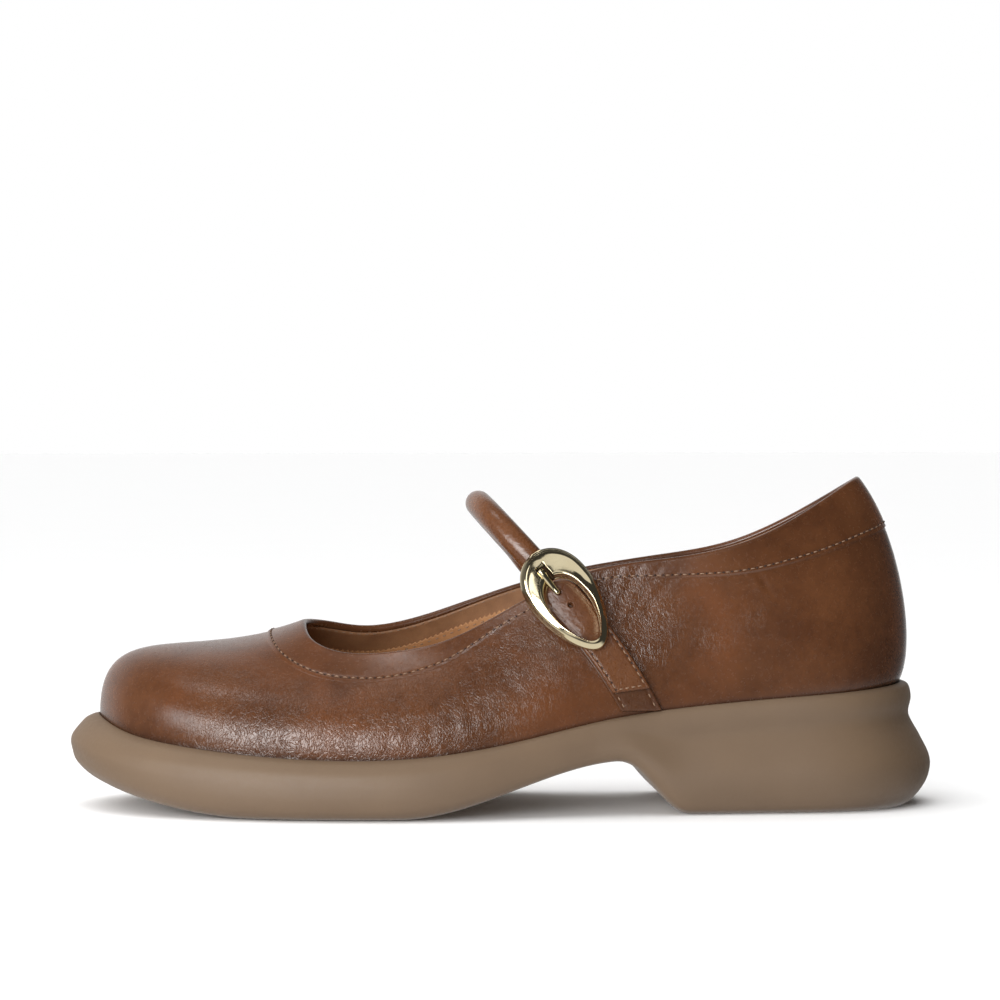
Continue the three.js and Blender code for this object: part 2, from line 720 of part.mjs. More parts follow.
function tabWithHoles() {
  let tab = solid(tabGeometry());
  for (let k = 0; k < HOLE_COUNT; k++) {
    const stop = 1 - (TAB_WIDTH / 2 + k * HOLE_SPACING) / tabLength;
    const place = tabLine.getPointAt(stop);
    const { u, t } = onUpper(place.x, place.y, -1);
    const drill = new THREE.CylinderGeometry(HOLE_DIAMETER / 2, HOLE_DIAMETER / 2, TAB_THICKNESS * 3, 12);
    const turn = new THREE.Quaternion();
    turn.setFromUnitVectors(new THREE.Vector3(0, 1, 0), upperNormal(u, t));
    drill.applyQuaternion(turn);
    const centre = offUpper(u, t, TAB_LIFT + TAB_THICKNESS / 2);
    drill.translate(centre.x, centre.y, centre.z);
    tab = tab.subtract(solid(drill));
  }
  return geometryOf(tab);
}

const leather = { color: 0x74482c, roughness: 0.42, metalness: 0 };
const lining = { color: 0x9a7148, roughness: 0.7, metalness: 0 };
const rubber = { color: 0x87735f, roughness: 0.75, metalness: 0 };
const gold = { color: 0xd9c48e, roughness: 0.16, metalness: 1 };

const PIECES = [
  ['sole', soleGeometry(), rubber],
  ['upper', upperGeometry(), leather],
  ['insole', insoleGeometry(), lining],
  ['strap', strapGeometry(), leather],
  ['strap_anchor', anchorGeometry(), leather],
  ['tab_base', baseGeometry(), leather],
  ['strap_tab', tabWithHoles(), leather],
  ['buckle_frame', frameGeometry(), gold],
  ['buckle_prong', prongGeometry(), gold],
];

const shoe = new THREE.Group();
for (const [name, geometry, finish] of PIECES) {
  const mesh = new THREE.Mesh(geometry, new THREE.MeshStandardMaterial(finish));
  mesh.name = name;
  shoe.add(mesh);
}

// The origin is the middle of the floor under the shoe.
const extent = new THREE.Box3().setFromObject(shoe);
const middle = extent.getCenter(new THREE.Vector3());
shoe.position.set(-middle.x, -middle.y, -extent.min.z);

export default shoe;
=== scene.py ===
"""A left mary jane shoe over its solid model. Toe towards -X, outer side towards -Y, metres."""

import math

import bmesh
import bpy
import numpy as np
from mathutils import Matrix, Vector


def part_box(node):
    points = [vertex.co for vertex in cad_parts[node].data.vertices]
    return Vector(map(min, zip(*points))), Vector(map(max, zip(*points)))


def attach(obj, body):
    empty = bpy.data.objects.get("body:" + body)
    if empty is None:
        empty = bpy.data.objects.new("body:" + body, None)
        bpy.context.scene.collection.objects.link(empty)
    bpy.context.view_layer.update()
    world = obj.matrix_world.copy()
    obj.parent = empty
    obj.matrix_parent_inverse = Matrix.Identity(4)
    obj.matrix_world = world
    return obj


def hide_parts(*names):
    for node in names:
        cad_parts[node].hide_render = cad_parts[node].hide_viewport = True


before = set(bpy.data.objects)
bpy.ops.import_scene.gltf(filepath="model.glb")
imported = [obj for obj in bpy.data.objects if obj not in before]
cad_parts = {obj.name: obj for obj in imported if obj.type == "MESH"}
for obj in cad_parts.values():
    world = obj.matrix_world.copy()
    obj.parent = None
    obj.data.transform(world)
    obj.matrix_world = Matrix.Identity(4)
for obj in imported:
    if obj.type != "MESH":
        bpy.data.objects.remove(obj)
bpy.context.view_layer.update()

MM = 0.001

# Last and upper, in millimetres
LAST_LENGTH = 251
BALL_WIDTH = 88.6
THROAT_HEIGHT = 39.4
BACK_HEIGHT = 63.6
WALL = 1.9
BAND_WIDTH = 13
BAND_STEP = 0.5

# Sole
FOREFOOT_THICKNESS = 18.2
HEEL_THICKNESS = 38.2
TOE_LIP_RISE = 10.6
TOE_SPRING = 9
ARCH_HEIGHT = 16.7
TOE_BUMPER = 9.1
SIDE_EXTENSION = 6.2
HEEL_BUMPER = 10
SEAT_DEPTH = 3
INSOLE_THICKNESS = 4

# Strap and tab
STRAP_DIAMETER = 8
STRAP_RISE = 21.2
STRAP_LEAN = 19.4
STRAP_FULLNESS = 0.85
STRAP_REACH = 0.6
STRAP_TUCK = 1.3
ANCHOR_WIDTH = 17
ANCHOR_THICKNESS = 1.8
TAB_WIDTH = 10
TAB_END_WIDTH = 11.6
TAB_THICKNESS = 1.9
BASE_WIDTH = 11.4
BASE_THICKNESS = 1.2
HOLE_SPACING = 5.4
HOLE_COUNT = 2

# Buckle
BUCKLE_LENGTH = 36.2
BUCKLE_HEIGHT = 3.2
RIM_WIDTH = 2.6
SIDE_WIDTH = 4.3
PLATE_WIDTH = 10
PRONG_WIDTH = 1.8
BUCKLE_LEAN = 35.5
BUCKLE_STANDOFF = 0.4

# Fit
CLEARANCE = 0.3


def mix(a, b, t):
    return a + (b - a) * t


def ease(v):
    v = np.clip(v, 0, 1)
    return v * v * (3 - 2 * v)


def bell(v):
    return np.exp(-(np.asarray(v, float) ** 2))


def unit(v):
    return v / np.linalg.norm(v, axis=-1, keepdims=True)


def walk(points):
    """The length walked along a row of points up to each."""
    steps = np.linalg.norm(np.diff(points, axis=0), axis=1)
    return np.concatenate([[0], np.cumsum(steps)])


# Plan sections from toe to heel: station, outer and inner half width, lip, seat, rise and place.
PLAN = [
    [0, -0.09, 0.09, 1, 0.6, 0, 0],
    [0.035, 0.169, 0.305, 0.62, 0.45, 0, 0.35],
    [0.1, 0.327, 0.412, 0.33, 0.27, 0, 0.8],
    [0.19, 0.44, 0.468, 0.115, 0.1, 0, 1],
    [0.29, 0.494, 0.489, 0, 0, 0, 1],
    [0.4, 0.506, 0.44, 0, 0, 0.05, 1.15],
    [0.51, 0.463, 0.361, 0, 0, 0.26, 1.6],
    [0.62, 0.406, 0.316, 0, 0, 0.56, 2.1],
    [0.73, 0.372, 0.319, 0, 0, 0.745, 2.8],
    [0.84, 0.353, 0.342, 0, 0, 0.86, 3.05],
    [0.94, 0.288, 0.293, 0, 0, 0.945, 3.6],
    [1, 0, 0, 0, 0, 1, 4],
]

# Topline and section shape at each plan section: station and side of the topline, lift, band, and
# how far the section's curve leaves the foot outwards and upwards, the topline outwards and down.
LATERAL = [
    [0.252, -0.045, 0.975, 0.8, 0, 0.47, 0.484, 0.2],
    [0.253, 0.028, 0.935, 0.78, 0.02, 0.46, 0.45, 0.2],
    [0.261, 0.124, 0.847, 0.74, 0.04, 0.45, 0.4, 0.21],
    [0.292, 0.212, 0.724, 0.66, 0.06, 0.42, 0.33, 0.22],
    [0.346, 0.271, 0.649, 0.6, 0.07, 0.38, 0.27, 0.24],
    [0.427, 0.31, 0.648, 0.5, 0.07, 0.35, 0.17, 0.28],
    [0.511, 0.327, 0.787, 0.2, 0.06, 0.33, 0.09, 0.3],
    [0.609, 0.322, 0.882, 0.14, 0.05, 0.32, 0.05, 0.31],
    [0.709, 0.316, 0.839, 0.38, 0.05, 0.32, 0.04, 0.31],
    [0.812, 0.293, 0.845, 0.66, 0.06, 0.3, 0.05, 0.3],
    [0.902, 0.175, 0.95, 1, 0.08, 0.22, 0.12, 0.28],
    [0.949, 0, 1, 1, 0.098, 0.16, 0.21, 0.262],
]
MEDIAL = [
    [0.252, -0.045, 0.975, 0.8, 0, 0.47, 0.484, 0.2],
    [0.2546, 0.107, 0.98, 0.78, 0, 0.47, 0.47, 0.18],
    [0.266, 0.181, 0.952, 0.74, 0.02, 0.46, 0.43, 0.19],
    [0.294, 0.248, 0.878, 0.66, 0.03, 0.44, 0.38, 0.2],
    [0.346, 0.293, 0.775, 0.6, 0.04, 0.41, 0.3, 0.22],
    [0.427, 0.316, 0.774, 0.5, 0.03, 0.38, 0.18, 0.28],
    [0.511, 0.322, 0.826, 0.2, 0.02, 0.35, 0.08, 0.31],
    [0.609, 0.322, 0.837, 0.14, 0.02, 0.33, 0.05, 0.31],
    [0.709, 0.31, 0.806, 0.38, 0.03, 0.32, 0.04, 0.31],
    [0.812, 0.293, 0.798, 0.66, 0.05, 0.3, 0.05, 0.3],
    [0.902, 0.192, 0.905, 1, 0.08, 0.22, 0.12, 0.28],
    [0.949, 0, 1, 1, 0.098, 0.16, 0.21, 0.262],
]

# Side profile of the sole at five places, toe, ball, arch, heel and back: for each ring the share
# of the extension, then the share of the local height.
EXTENSIONS = np.array([TOE_BUMPER, SIDE_EXTENSION, SIDE_EXTENSION, SIDE_EXTENSION, HEEL_BUMPER])
SIDE_PROFILE = np.array([
    [0.24, 0.975, 0.2, 0.985, 0.15, 0.99, 0.15, 0.99, 0.12, 1],
    [0.5, 0.91, 0.5, 0.93, 0.3, 0.93, 0.28, 0.95, 0.31, 0.97],
    [0.8, 0.76, 0.84, 0.8, 0.42, 0.78, 0.33, 0.86, 0.39, 0.87],
    [0.95, 0.66, 0.96, 0.66, 0.5, 0.64, 0.3, 0.73, 0.32, 0.73],
    [1, 0.56, 1, 0.52, 0.55, 0.48, 0.6, 0.57, 0.66, 0.56],
    [0.95, 0.42, 0.95, 0.34, 0.58, 0.3, 0.92, 0.38, 0.99, 0.37],
    [0.8, 0.24, 0.74, 0.17, 0.52, 0.15, 0.9, 0.2, 0.9, 0.2],
    [0.32, 0.05, 0.3, 0.04, 0.3, 0.04, 0.52, 0.05, 0.52, 0.055],
    [-0.43, 0, -0.4, 0, -0.15, 0, 0.05, 0, 0.24, 0],
])

TOE_LIFTS = 0.195
TOE_CURVE = 2.1
ARCH_STARTS = 0.362
ARCH_TOPS = 0.645
BREAST_STARTS = 0.635
BREAST_ENDS = 0.717
BREAST_ROUNDING = 1.4
BREAST_SHIFT = 0.5
THROAT_STATION = 0.25
BACK_STATION = 0.95

# Lines in the side view: stations, and shares of the way from the sole to the topline.
TAB_LINE = [[0.662, 0.005], [0.621, 0.477], [0.551, 1.04]]
ANCHOR_LINE = [[0.606, 0.5], [0.584, 0.85], [0.555, 1.08]]
BUCKLE_CENTRE = [0.5745, 0.857]
BASE_STARTS = 0.015
BASE_ENDS = 0.8
TAB_STARTS = 0.165
TAB_WIDENS = 0.4
ANCHOR_NARROWS = 0.35

OUTER = -1
INNER = 1


def station_x(station):
    return (np.asarray(station, float) - 0.5) * LAST_LENGTH


class ClosedSpline:
    """A smooth closed curve of rows of numbers through values at rising knots."""

    def __init__(self, knots, values, period):
        self.knots = np.asarray(knots, float)
        self.values = np.asarray(values, float).reshape(len(knots), -1)
        self.period = period
        self.gaps = np.diff(np.append(self.knots, self.knots[0] + period))
        count = len(self.knots)
        matrix = np.zeros((count, count))
        right = np.zeros_like(self.values)
        for i in range(count):
            before, after = self.gaps[i - 1], self.gaps[i]
            last, following = (i - 1) % count, (i + 1) % count
            matrix[i, last] += before
            matrix[i, i] += 2 * (before + after)
            matrix[i, following] += after
            rise = (self.values[following] - self.values[i]) / after
            right[i] = 6 * (rise - (self.values[i] - self.values[last]) / before)
        self.bends = np.linalg.solve(matrix, right)

    def __call__(self, u):
        at = np.mod(np.asarray(u, float), self.period)
        i = np.clip(np.searchsorted(self.knots, at, side="right") - 1, 0, None)
        following = (i + 1) % len(self.knots)
        length = self.gaps[i][..., None]
        t = ((at - self.knots[i]) / self.gaps[i])[..., None]
        curve = ((1 - t) ** 3 - (1 - t)) * self.bends[i] + (t**3 - t) * self.bends[following]
        return mix(self.values[i], self.values[following], t) + curve * length**2 / 6


def section(plan, shape, side):
    """A row of foot, topline point, topline handle, foot out and up, band, place and floor."""
    station, lateral, medial, lip, seat, rise, place = plan
    top_station, top_side, top_lift, band, foot_out, foot_up, top_out, top_down = shape
    half = lateral if side == OUTER else medial
    joint = FOREFOOT_THICKNESS + (HEEL_THICKNESS - FOREFOOT_THICKNESS) * rise + TOE_LIP_RISE * lip
    foot = np.array([station_x(station), side * half * BALL_WIDTH, joint])
    back = (top_station - THROAT_STATION) / (BACK_STATION - THROAT_STATION)
    level = mix(FOREFOOT_THICKNESS, HEEL_THICKNESS, back)
    height = level + top_lift * mix(THROAT_HEIGHT, BACK_HEIGHT, back)
    top = np.array([station_x(top_station), side * top_side * BALL_WIDTH, height])
    chord = np.linalg.norm(top - foot)
    away = (foot - top) * [1, 1, 0]
    handle = unit(away) * top_out * chord
    handle[2] = -top_down * chord
    floor = joint - SEAT_DEPTH - TOE_LIP_RISE * (lip - seat)
    leaving = foot_out * chord, foot_up * chord
    return [*foot, *top, *handle, *leaving, band * BAND_WIDTH, place, floor]


FOOT, TOP, HANDLE = slice(0, 3), slice(3, 6), slice(6, 9)
FOOT_OUT, FOOT_UP, BAND, PLACE, FLOOR = range(9, 14)

outward = np.array([section(plan, shape, OUTER) for plan, shape in zip(PLAN, LATERAL)])
inward = np.array([section(plan, shape, INNER) for plan, shape in zip(PLAN, MEDIAL)])
ROW_KNOTS = (walk(outward[:, FOOT]) + walk(inward[:, FOOT])) / 2
HALF_TURN = ROW_KNOTS[-1]
TURN = 2 * HALF_TURN
SHOE = ClosedSpline(
    np.concatenate([ROW_KNOTS, TURN - ROW_KNOTS[-2:0:-1]]),
    np.concatenate([outward, inward[-2:0:-1]]),
    TURN,
)


def plan_normal(u):
    reach = 0.5
    along = SHOE(u + reach)[..., FOOT] - SHOE(u - reach)[..., FOOT]
    return unit(np.stack([along[..., 1], -along[..., 0], np.zeros_like(along[..., 0])], -1))


def upper_point(u, t):
    u, t = np.broadcast_arrays(np.asarray(u, float), np.asarray(t, float))
    row = SHOE(u)
    foot, top = row[..., FOOT], row[..., TOP]
    low = foot + plan_normal(u) * row[..., FOOT_OUT, None]
    low[..., 2] += row[..., FOOT_UP]
    high = top + row[..., HANDLE]
    t = t[..., None]
    s = 1 - t
    return foot * s**3 + low * 3 * s * s * t + high * 3 * s * t * t + top * t**3


def upper_normal(u, t):
    u, t = np.asarray(u, float), np.asarray(t, float)
    along = upper_point(u + 0.3, t) - upper_point(u - 0.3, t)
    up = upper_point(u, t + 0.01) - upper_point(u, t - 0.01)
    return unit(np.cross(along, up))


def off_upper(u, t, lift):
    return upper_point(u, t) + upper_normal(u, t) * np.asarray(lift, float)[..., None]


def t_at_depth(u, depth):
    """The t at a walked distance down from the topline."""
    u = np.asarray(u, float)
    depth = np.broadcast_to(np.asarray(depth, float), u.shape)
    ts = np.linspace(1, 0.3, 141)
    points = upper_point(u[:, None], ts[None, :])
    steps = np.linalg.norm(np.diff(points, axis=1), axis=2)
    walked = np.concatenate([np.zeros((len(u), 1)), np.cumsum(steps, 1)], 1)
    return np.array([np.interp(d, w, ts) for d, w in zip(depth, walked)])


def band_lift(u):
    narrow = BAND_STEP * 4
    return BAND_STEP * ease((SHOE(u)[..., BAND] - narrow) / (BAND_WIDTH / 3))


def even_places(count, curve):
    """u values that split the closed curve u -> point into equal lengths."""
    fine = np.linspace(0, TURN, 2001)
    walked = walk(curve(fine))
    return np.interp(np.arange(count) * walked[-1] / count, walked, fine)


def sharp_underside(x):
    station = np.asarray(x, float) / LAST_LENGTH + 0.5
    toe = (np.clip(TOE_LIFTS - station, 0, None) / TOE_LIFTS) ** TOE_CURVE
    arch = ease((station - ARCH_STARTS) / (ARCH_TOPS - ARCH_STARTS))
    breast = ease((station - BREAST_STARTS) / (BREAST_ENDS - BREAST_STARTS))
    return TOE_SPRING * toe + ARCH_HEIGHT * arch * (1 - breast)


def underside(x):
    """Height under the sole, with the heel breast's corners rounded a little more."""
    shifts = [BREAST_ROUNDING * k - BREAST_SHIFT for k in range(-2, 3)]
    return sum(sharp_underside(np.asarray(x, float) + shift) for shift in shifts) / len(shifts)


def profile(u):
    """Reach and height share of the sole's rings at each u, as arrays of rings by places."""
    place = np.clip(SHOE(u)[..., PLACE], 0, len(EXTENSIONS) - 1.001)
    first = np.floor(place).astype(int)
    share = place - first
    reaches = SIDE_PROFILE[:, 0::2] * EXTENSIONS
    highs = SIDE_PROFILE[:, 1::2]
    reach = mix(reaches[:, first], reaches[:, first + 1], share)
    return reach, mix(highs[:, first], highs[:, first + 1], share)


def sole_ring(u, reach, high):
    foot = SHOE(u)[..., FOOT]
    point = foot + plan_normal(u) * np.asarray(reach)[..., None]
    low = mix(underside(point[..., 0]), underside(foot[..., 0]), ease(high / 0.04))
    point[..., 2] = mix(low, foot[..., 2], high)
    return point


# The solid model's origin is the middle of the floor under the shoe: the sole's widest ring and the
# loaded sole's box give the shift from these functions' place to it.
def shift_to_model():
    steps = [6, 5, 5, 4, 4, 4, 4, 6, 4, 5, 7]
    side = np.concatenate([
        mix(ROW_KNOTS[i], ROW_KNOTS[i + 1], np.arange(n) / n) for i, n in enumerate(steps)
    ])
    around = np.concatenate([side, [HALF_TURN], TURN - side[:0:-1]])
    reach, high = profile(around)
    rings = np.stack([sole_ring(around, r, h) for r, h in zip(reach, high)])
    low = np.array(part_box("sole")[0]) / MM
    return low - rings.reshape(-1, 3).min(0) * [1, 1, 0]


SHIFT = shift_to_model()


# Making meshes
def ring_faces(rows, count, looped=False):
    k = np.arange(rows if looped else rows - 1)[:, None]
    i = np.arange(count)[None, :]
    here, there = k * count, ((k + 1) % rows) * count
    after = (i + 1) % count
    return np.stack([here + i, there + i, there + after, here + after], -1).reshape(-1, 4)


def sheet_faces(rows, count, upwards, start=0):
    k = np.arange(rows - 1)[:, None] * count
    i = np.arange(count - 1)[None, :]
    cell = [k + i, k + count + i, k + count + i + 1, k + i + 1]
    if not upwards:
        cell.reverse()
    return start + np.stack(np.broadcast_arrays(*cell), -1).reshape(-1, 4)


def add_object(name, data):
    made = bpy.data.objects.new(name, data)
    bpy.context.scene.collection.objects.link(made)
    return made


def add_piece(name, points, faces, look, nodes=(), weights=None, merge=False, ends=()):
    """A mesh object from points in millimetres, riding on the one body."""
    mesh = bpy.data.meshes.new(name)
    place = (np.asarray(points, float).reshape(-1, 3) + SHIFT) * MM
    mesh.from_pydata(place.tolist(), [], np.asarray(faces).tolist() + [list(e) for e in ends])
    for key, values in (weights or {}).items():
        layer = mesh.attributes.new(key, "FLOAT", "POINT")
        layer.data.foreach_set("value", np.asarray(values, np.float32).ravel())
    if merge:
        shape = bmesh.new()
        shape.from_mesh(mesh)
        bmesh.ops.remove_doubles(shape, verts=shape.verts, dist=2e-6)
        shape.to_mesh(mesh)
        shape.free()
    mesh.shade_smooth()
    mesh.materials.append(look)
    piece = add_object(name, mesh)
    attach(piece, "root")
    if nodes:
        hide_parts(*nodes)


def add_shell(name, rings, look, nodes=(), weights=None):
    """A piece from rings that follow each other round its section."""
    faces = ring_faces(len(rings), len(rings[0]), looped=True)
    add_piece(name, np.stack(rings), faces, look, nodes, weights)


def add_tube(name, points, look, nodes, weights=None):
    """A piece from a row of rings with both ends closed."""
    rows, count = points.shape[:2]
    last = (rows - 1) * count
    ends = [list(range(count)), list(range(last + count - 1, last - 1, -1))]
    add_piece(name, points, ring_faces(rows, count), look, nodes, weights, ends=ends)


def add_filled(name, rings, top, bottom, look, node):
    """A piece from a row of rings, closed by a sheet on the first and one under the last."""
    sides = np.stack(rings)
    start_top = sides.size // 3
    start_bottom = start_top + top.size // 3
    faces = np.concatenate([
        ring_faces(*sides.shape[:2]),
        sheet_faces(*top.shape[:2], True, start_top),
        sheet_faces(*bottom.shape[:2], False, start_bottom),
    ])
    points = np.concatenate([part.reshape(-1, 3) for part in (sides, top, bottom)])
    add_piece(name, points, faces, look, [node], merge=True)


STITCH_PITCH = 2.6
BAND_PITCH = 2.65
THREAD_SINKS = 0.02


def stitch_piece(name, runs, look, length=1.4, radius=0.2):
    """Threads: each run is an array of rows of middle, direction and normal."""
    turns = np.arange(6) * math.pi / 3
    along = np.array([-1, -0.72, 0, 0.72, 1])
    thick = np.array([0.35, 0.85, 1, 0.85, 0.35])
    lift = np.array([-0.3, -0.02, 0.08, -0.02, -0.3])
    points, faces, ends = [], [], []
    size = len(along) * len(turns)
    pattern = ring_faces(len(along), len(turns))
    for row in np.concatenate(runs):
        middle, way, out = row[:3], row[3:6], row[6:9]
        side = np.cross(way, out)
        start = len(points) * size
        rings = [
            middle + way * (length / 2 * a) + out * h
            + radius * w * (np.outer(np.cos(turns), side) + np.outer(np.sin(turns), out))
            for a, w, h in zip(along, thick, lift)
        ]
        points.append(np.concatenate(rings))
        faces.append(pattern + start)
        ends.append([start + k for k in range(len(turns))])
        ends.append([start + size - 1 - k for k in range(len(turns))])
    add_piece(name, np.concatenate(points), np.concatenate(faces), look, ends=ends)


def thread_run(points, normals, pitch=STITCH_PITCH, closed=False):
    """Evenly spaced stitches along a line of points."""
    if closed:
        points, normals = np.vstack([points, points[:1]]), np.vstack([normals, normals[:1]])
    walked = walk(points)
    count = max(2, int(round(walked[-1] / pitch)))
    at = (np.arange(count) + 0.5) * walked[-1] / count
    reach = pitch * 0.3

    def pick(values, where):
        where = np.clip(where, 0, walked[-1])
        return np.stack([np.interp(where, walked, values[:, k]) for k in range(3)], 1)

    way = unit(pick(points, at + reach) - pick(points, at - reach))
    out = pick(normals, at)
    out -= way * (out * way).sum(1, keepdims=True)
    return np.hstack([pick(points, at), way, unit(out)])


def between(run, gap=1.3):
    """The places half-way between the stitches of a run, for the painted shade of the needle holes.
    """
    middle = run.copy()
    middle[:, :3] += run[:, 3:6] * gap - run[:, 6:9] * 0.05
    return middle


# Looks
class Nodes:
    """Short ways to add nodes to a tree."""

    def __init__(self, tree):
        self.nodes, self.links = tree.nodes, tree.links

    def add(self, kind, inputs=None, **settings):
        node = self.nodes.new("ShaderNode" + kind)
        for name, value in settings.items():
            setattr(node, name, value)
        for name, value in (inputs or {}).items():
            if isinstance(value, bpy.types.NodeSocket):
                self.links.new(value, node.inputs[name])
            else:
                node.inputs[name].default_value = value
        return node

    def math(self, operation, a, b=0.0, clamp=False):
        return self.add("Math", {0: a, 1: b}, operation=operation, use_clamp=clamp).outputs[0]

    def times(self, a, b, clamp=False):
        return self.math("MULTIPLY", a, b, clamp)

    def weighed(self, a, share_a, b, share_b):
        return self.math("ADD", self.times(a, share_a), self.times(b, share_b))

    def span(self, value, low, high, to_low=0.0, to_high=1.0, smooth=False):
        return self.add("MapRange", {
            "Value": value, "From Min": low, "From Max": high, "To Min": to_low, "To Max": to_high,
        }, clamp=True, interpolation_type="SMOOTHSTEP" if smooth else "LINEAR").outputs["Result"]

    def blend(self, share, a, b):
        return self.add("Mix", {0: share, 6: a, 7: b}, data_type="RGBA").outputs[2]


class Look(Nodes):
    """A material painted in the shoe's own millimetres."""

    def __init__(self, name):
        self.material = bpy.data.materials.new(name)
        self.material.use_nodes = True
        super().__init__(self.material.node_tree)
        self.shader = self.nodes["Principled BSDF"]
        own = self.add("TexCoord").outputs["Object"]
        self.place = self.stretched((1 / MM,) * 3, place=own)

    def set(self, **values):
        for name, value in values.items():
            self.shader.inputs[name.replace("_", " ")].default_value = value

    def stretched(self, scale, turn=(0, 0, 0), place=None):
        return self.add("Mapping", {
            "Vector": place or self.place, "Scale": scale, "Rotation": turn,
        }).outputs["Vector"]

    def noise(self, scale, detail=2.0, rough=0.5, distortion=0.0, place=None):
        return self.add("TexNoise", {
            "Vector": place or self.place, "Scale": scale, "Detail": detail,
            "Roughness": rough, "Distortion": distortion,
        }).outputs["Fac"]

    def cells(self, scale, feature="F1", place=None):
        inputs = {"Vector": place or self.place, "Scale": scale}
        return self.add("TexVoronoi", inputs, feature=feature).outputs["Distance"]

    def weight(self, name):
        return self.add("Attribute", attribute_name=name).outputs["Fac"]

    def colour(self, socket):
        self.links.new(socket, self.shader.inputs["Base Color"])

    def rough(self, socket):
        self.links.new(socket, self.shader.inputs["Roughness"])

    def bump(self, height, distance):
        """Relief of that height in millimetres."""
        node = self.add("Bump", {"Height": height, "Distance": distance * MM})
        self.links.new(node.outputs["Normal"], self.shader.inputs["Normal"])


def rgb(red, green, blue):
    return (red, green, blue, 1)


# Near-black colour that painted shade darkens the leather towards.
PAINTED_SHADE_COLOUR = rgb(0.009, 0.005, 0.004)


def leather_look(
    name, dark, mid, warm, grain=1.0, crinkle=True, shine=0.22, gloss=0.62, rumple=0.0
):
    """Leather with clouds of colour, a fine grain and, by weight, crinkles or soft rumples. Painted
    shade darkens it by a weight and in the crinkles' troughs.
    """
    look = Look(name)
    share = look.weighed(look.noise(0.05, 4, 0.55), 0.65, look.noise(0.3, 4, 0.6, 0.4), 0.35)
    base = look.blend(look.span(share, 0.38, 0.62), dark, mid)
    base = look.blend(look.span(look.noise(0.028, 3, 0.5, 0.3), 0.48, 0.7, 0, 0.8), base, warm)
    # Painted shade: darker where the shade weight is negative, towards the near-black colour.
    base = look.blend(look.times(look.weight("painted_shade"), -1, clamp=True), base, PAINTED_SHADE_COLOUR)
    pebbles = look.span(look.cells(1.4, "DISTANCE_TO_EDGE"), 0.0, 0.3, -1, 0, True)
    height = look.weighed(pebbles, 0.0016, look.noise(2.6, 2, 0.6), 0.005)
    if rumple:
        height = look.math("ADD", height, look.times(look.noise(0.5, 2, 0.5, 1.0), rumple))
    if crinkle:
        amount = look.weight("crinkle")
        sway = look.add("TexNoise", {"Vector": look.place, "Scale": 0.12, "Detail": 2.0})
        swing = {0: sway.outputs["Color"], 1: (7, 7, 7)}
        shift = look.add("VectorMath", swing, operation="MULTIPLY")
        swayed = look.add("VectorMath", {0: look.place, 1: shift.outputs[0]}, operation="ADD")
        stretched = look.stretched((1.0, 1.0, 0.45), (0, 0.35, 0), swayed.outputs[0])
        net = look.span(look.cells(1.1, "DISTANCE_TO_EDGE", stretched), 0.0, 0.17, -1, 0, True)
        lines = look.noise(0.9, 2, 0.5, 0.9, stretched)
        ridges = look.math("ABSOLUTE", look.math("SUBTRACT", lines, 0.5))
        folds = look.span(ridges, 0.0, 0.045, -1, 0, True)
        both = look.weighed(net, 0.055, folds, 0.065)
        height = look.math("ADD", height, look.times(both, look.math("ADD", amount, 0.008)))
        # Painted shade: the crinkles' troughs are darkened towards the dark colour.
        base = look.blend(look.times(look.times(both, -4), amount, clamp=True), base, dark)
    look.colour(base)
    look.rough(look.span(look.noise(0.9, 3), 0.3, 0.7, shine - 0.04, shine + 0.08))
    look.bump(height, grain)
    look.set(Specular_IOR_Level=gloss)
    return look.material


LEATHER = leather_look(
    "leather_brown", rgb(0.06, 0.0212, 0.0078), rgb(0.09, 0.0335, 0.0124), rgb(0.118, 0.0405, 0.014)
)
STRAP_LEATHER = leather_look(
    "leather_strap", rgb(0.07, 0.0245, 0.0092), rgb(0.103, 0.039, 0.0145), rgb(0.125, 0.043, 0.015),
    grain=0.8, crinkle=False, shine=0.3, gloss=0.4, rumple=0.22,
)
CORD_LEATHER = leather_look(
    "leather_cord", rgb(0.08, 0.029, 0.011), rgb(0.118, 0.045, 0.017), rgb(0.142, 0.05, 0.018),
    grain=0.8, crinkle=False, shine=0.25, rumple=0.2,
)


def lining_look(name, light, shade, shine=0.62):
    look = Look(name)
    base = look.blend(look.span(look.noise(0.12, 4, 0.6), 0.35, 0.65), shade, light)
    shaded_pores = look.span(look.cells(1.7), 0.08, 0.26)
    # Painted shade: the pores' pits are darkened towards the shade colour.
    base = look.blend(look.span(shaded_pores, 0, 1, 0.35, 0), base, shade)
    look.colour(base)
    look.set(Roughness=shine)
    look.bump(look.math("ADD", shaded_pores, look.times(look.noise(2.5, 3), 0.5)), 0.08)
    return look.material


LINING = lining_look("lining_tan", rgb(0.43, 0.215, 0.092), rgb(0.33, 0.155, 0.062))
FACING = lining_look("lining_facing", rgb(0.26, 0.13, 0.06), rgb(0.19, 0.09, 0.04))
FOOTBED = lining_look("lining_footbed", rgb(0.36, 0.19, 0.085), rgb(0.29, 0.145, 0.06), 0.55)


def rubber_look():
    look = Look("sole_rubber")
    cloud = look.span(look.noise(0.06, 3), 0.3, 0.7)
    look.colour(look.blend(cloud, rgb(0.125, 0.082, 0.05), rgb(0.1345, 0.0885, 0.0535)))
    look.rough(look.span(look.noise(0.8, 2), 0.3, 0.7, 0.5, 0.6))
    look.set(Specular_IOR_Level=0.4)
    look.bump(look.noise(2.4, 3, 0.6), 0.02)
    return look.material


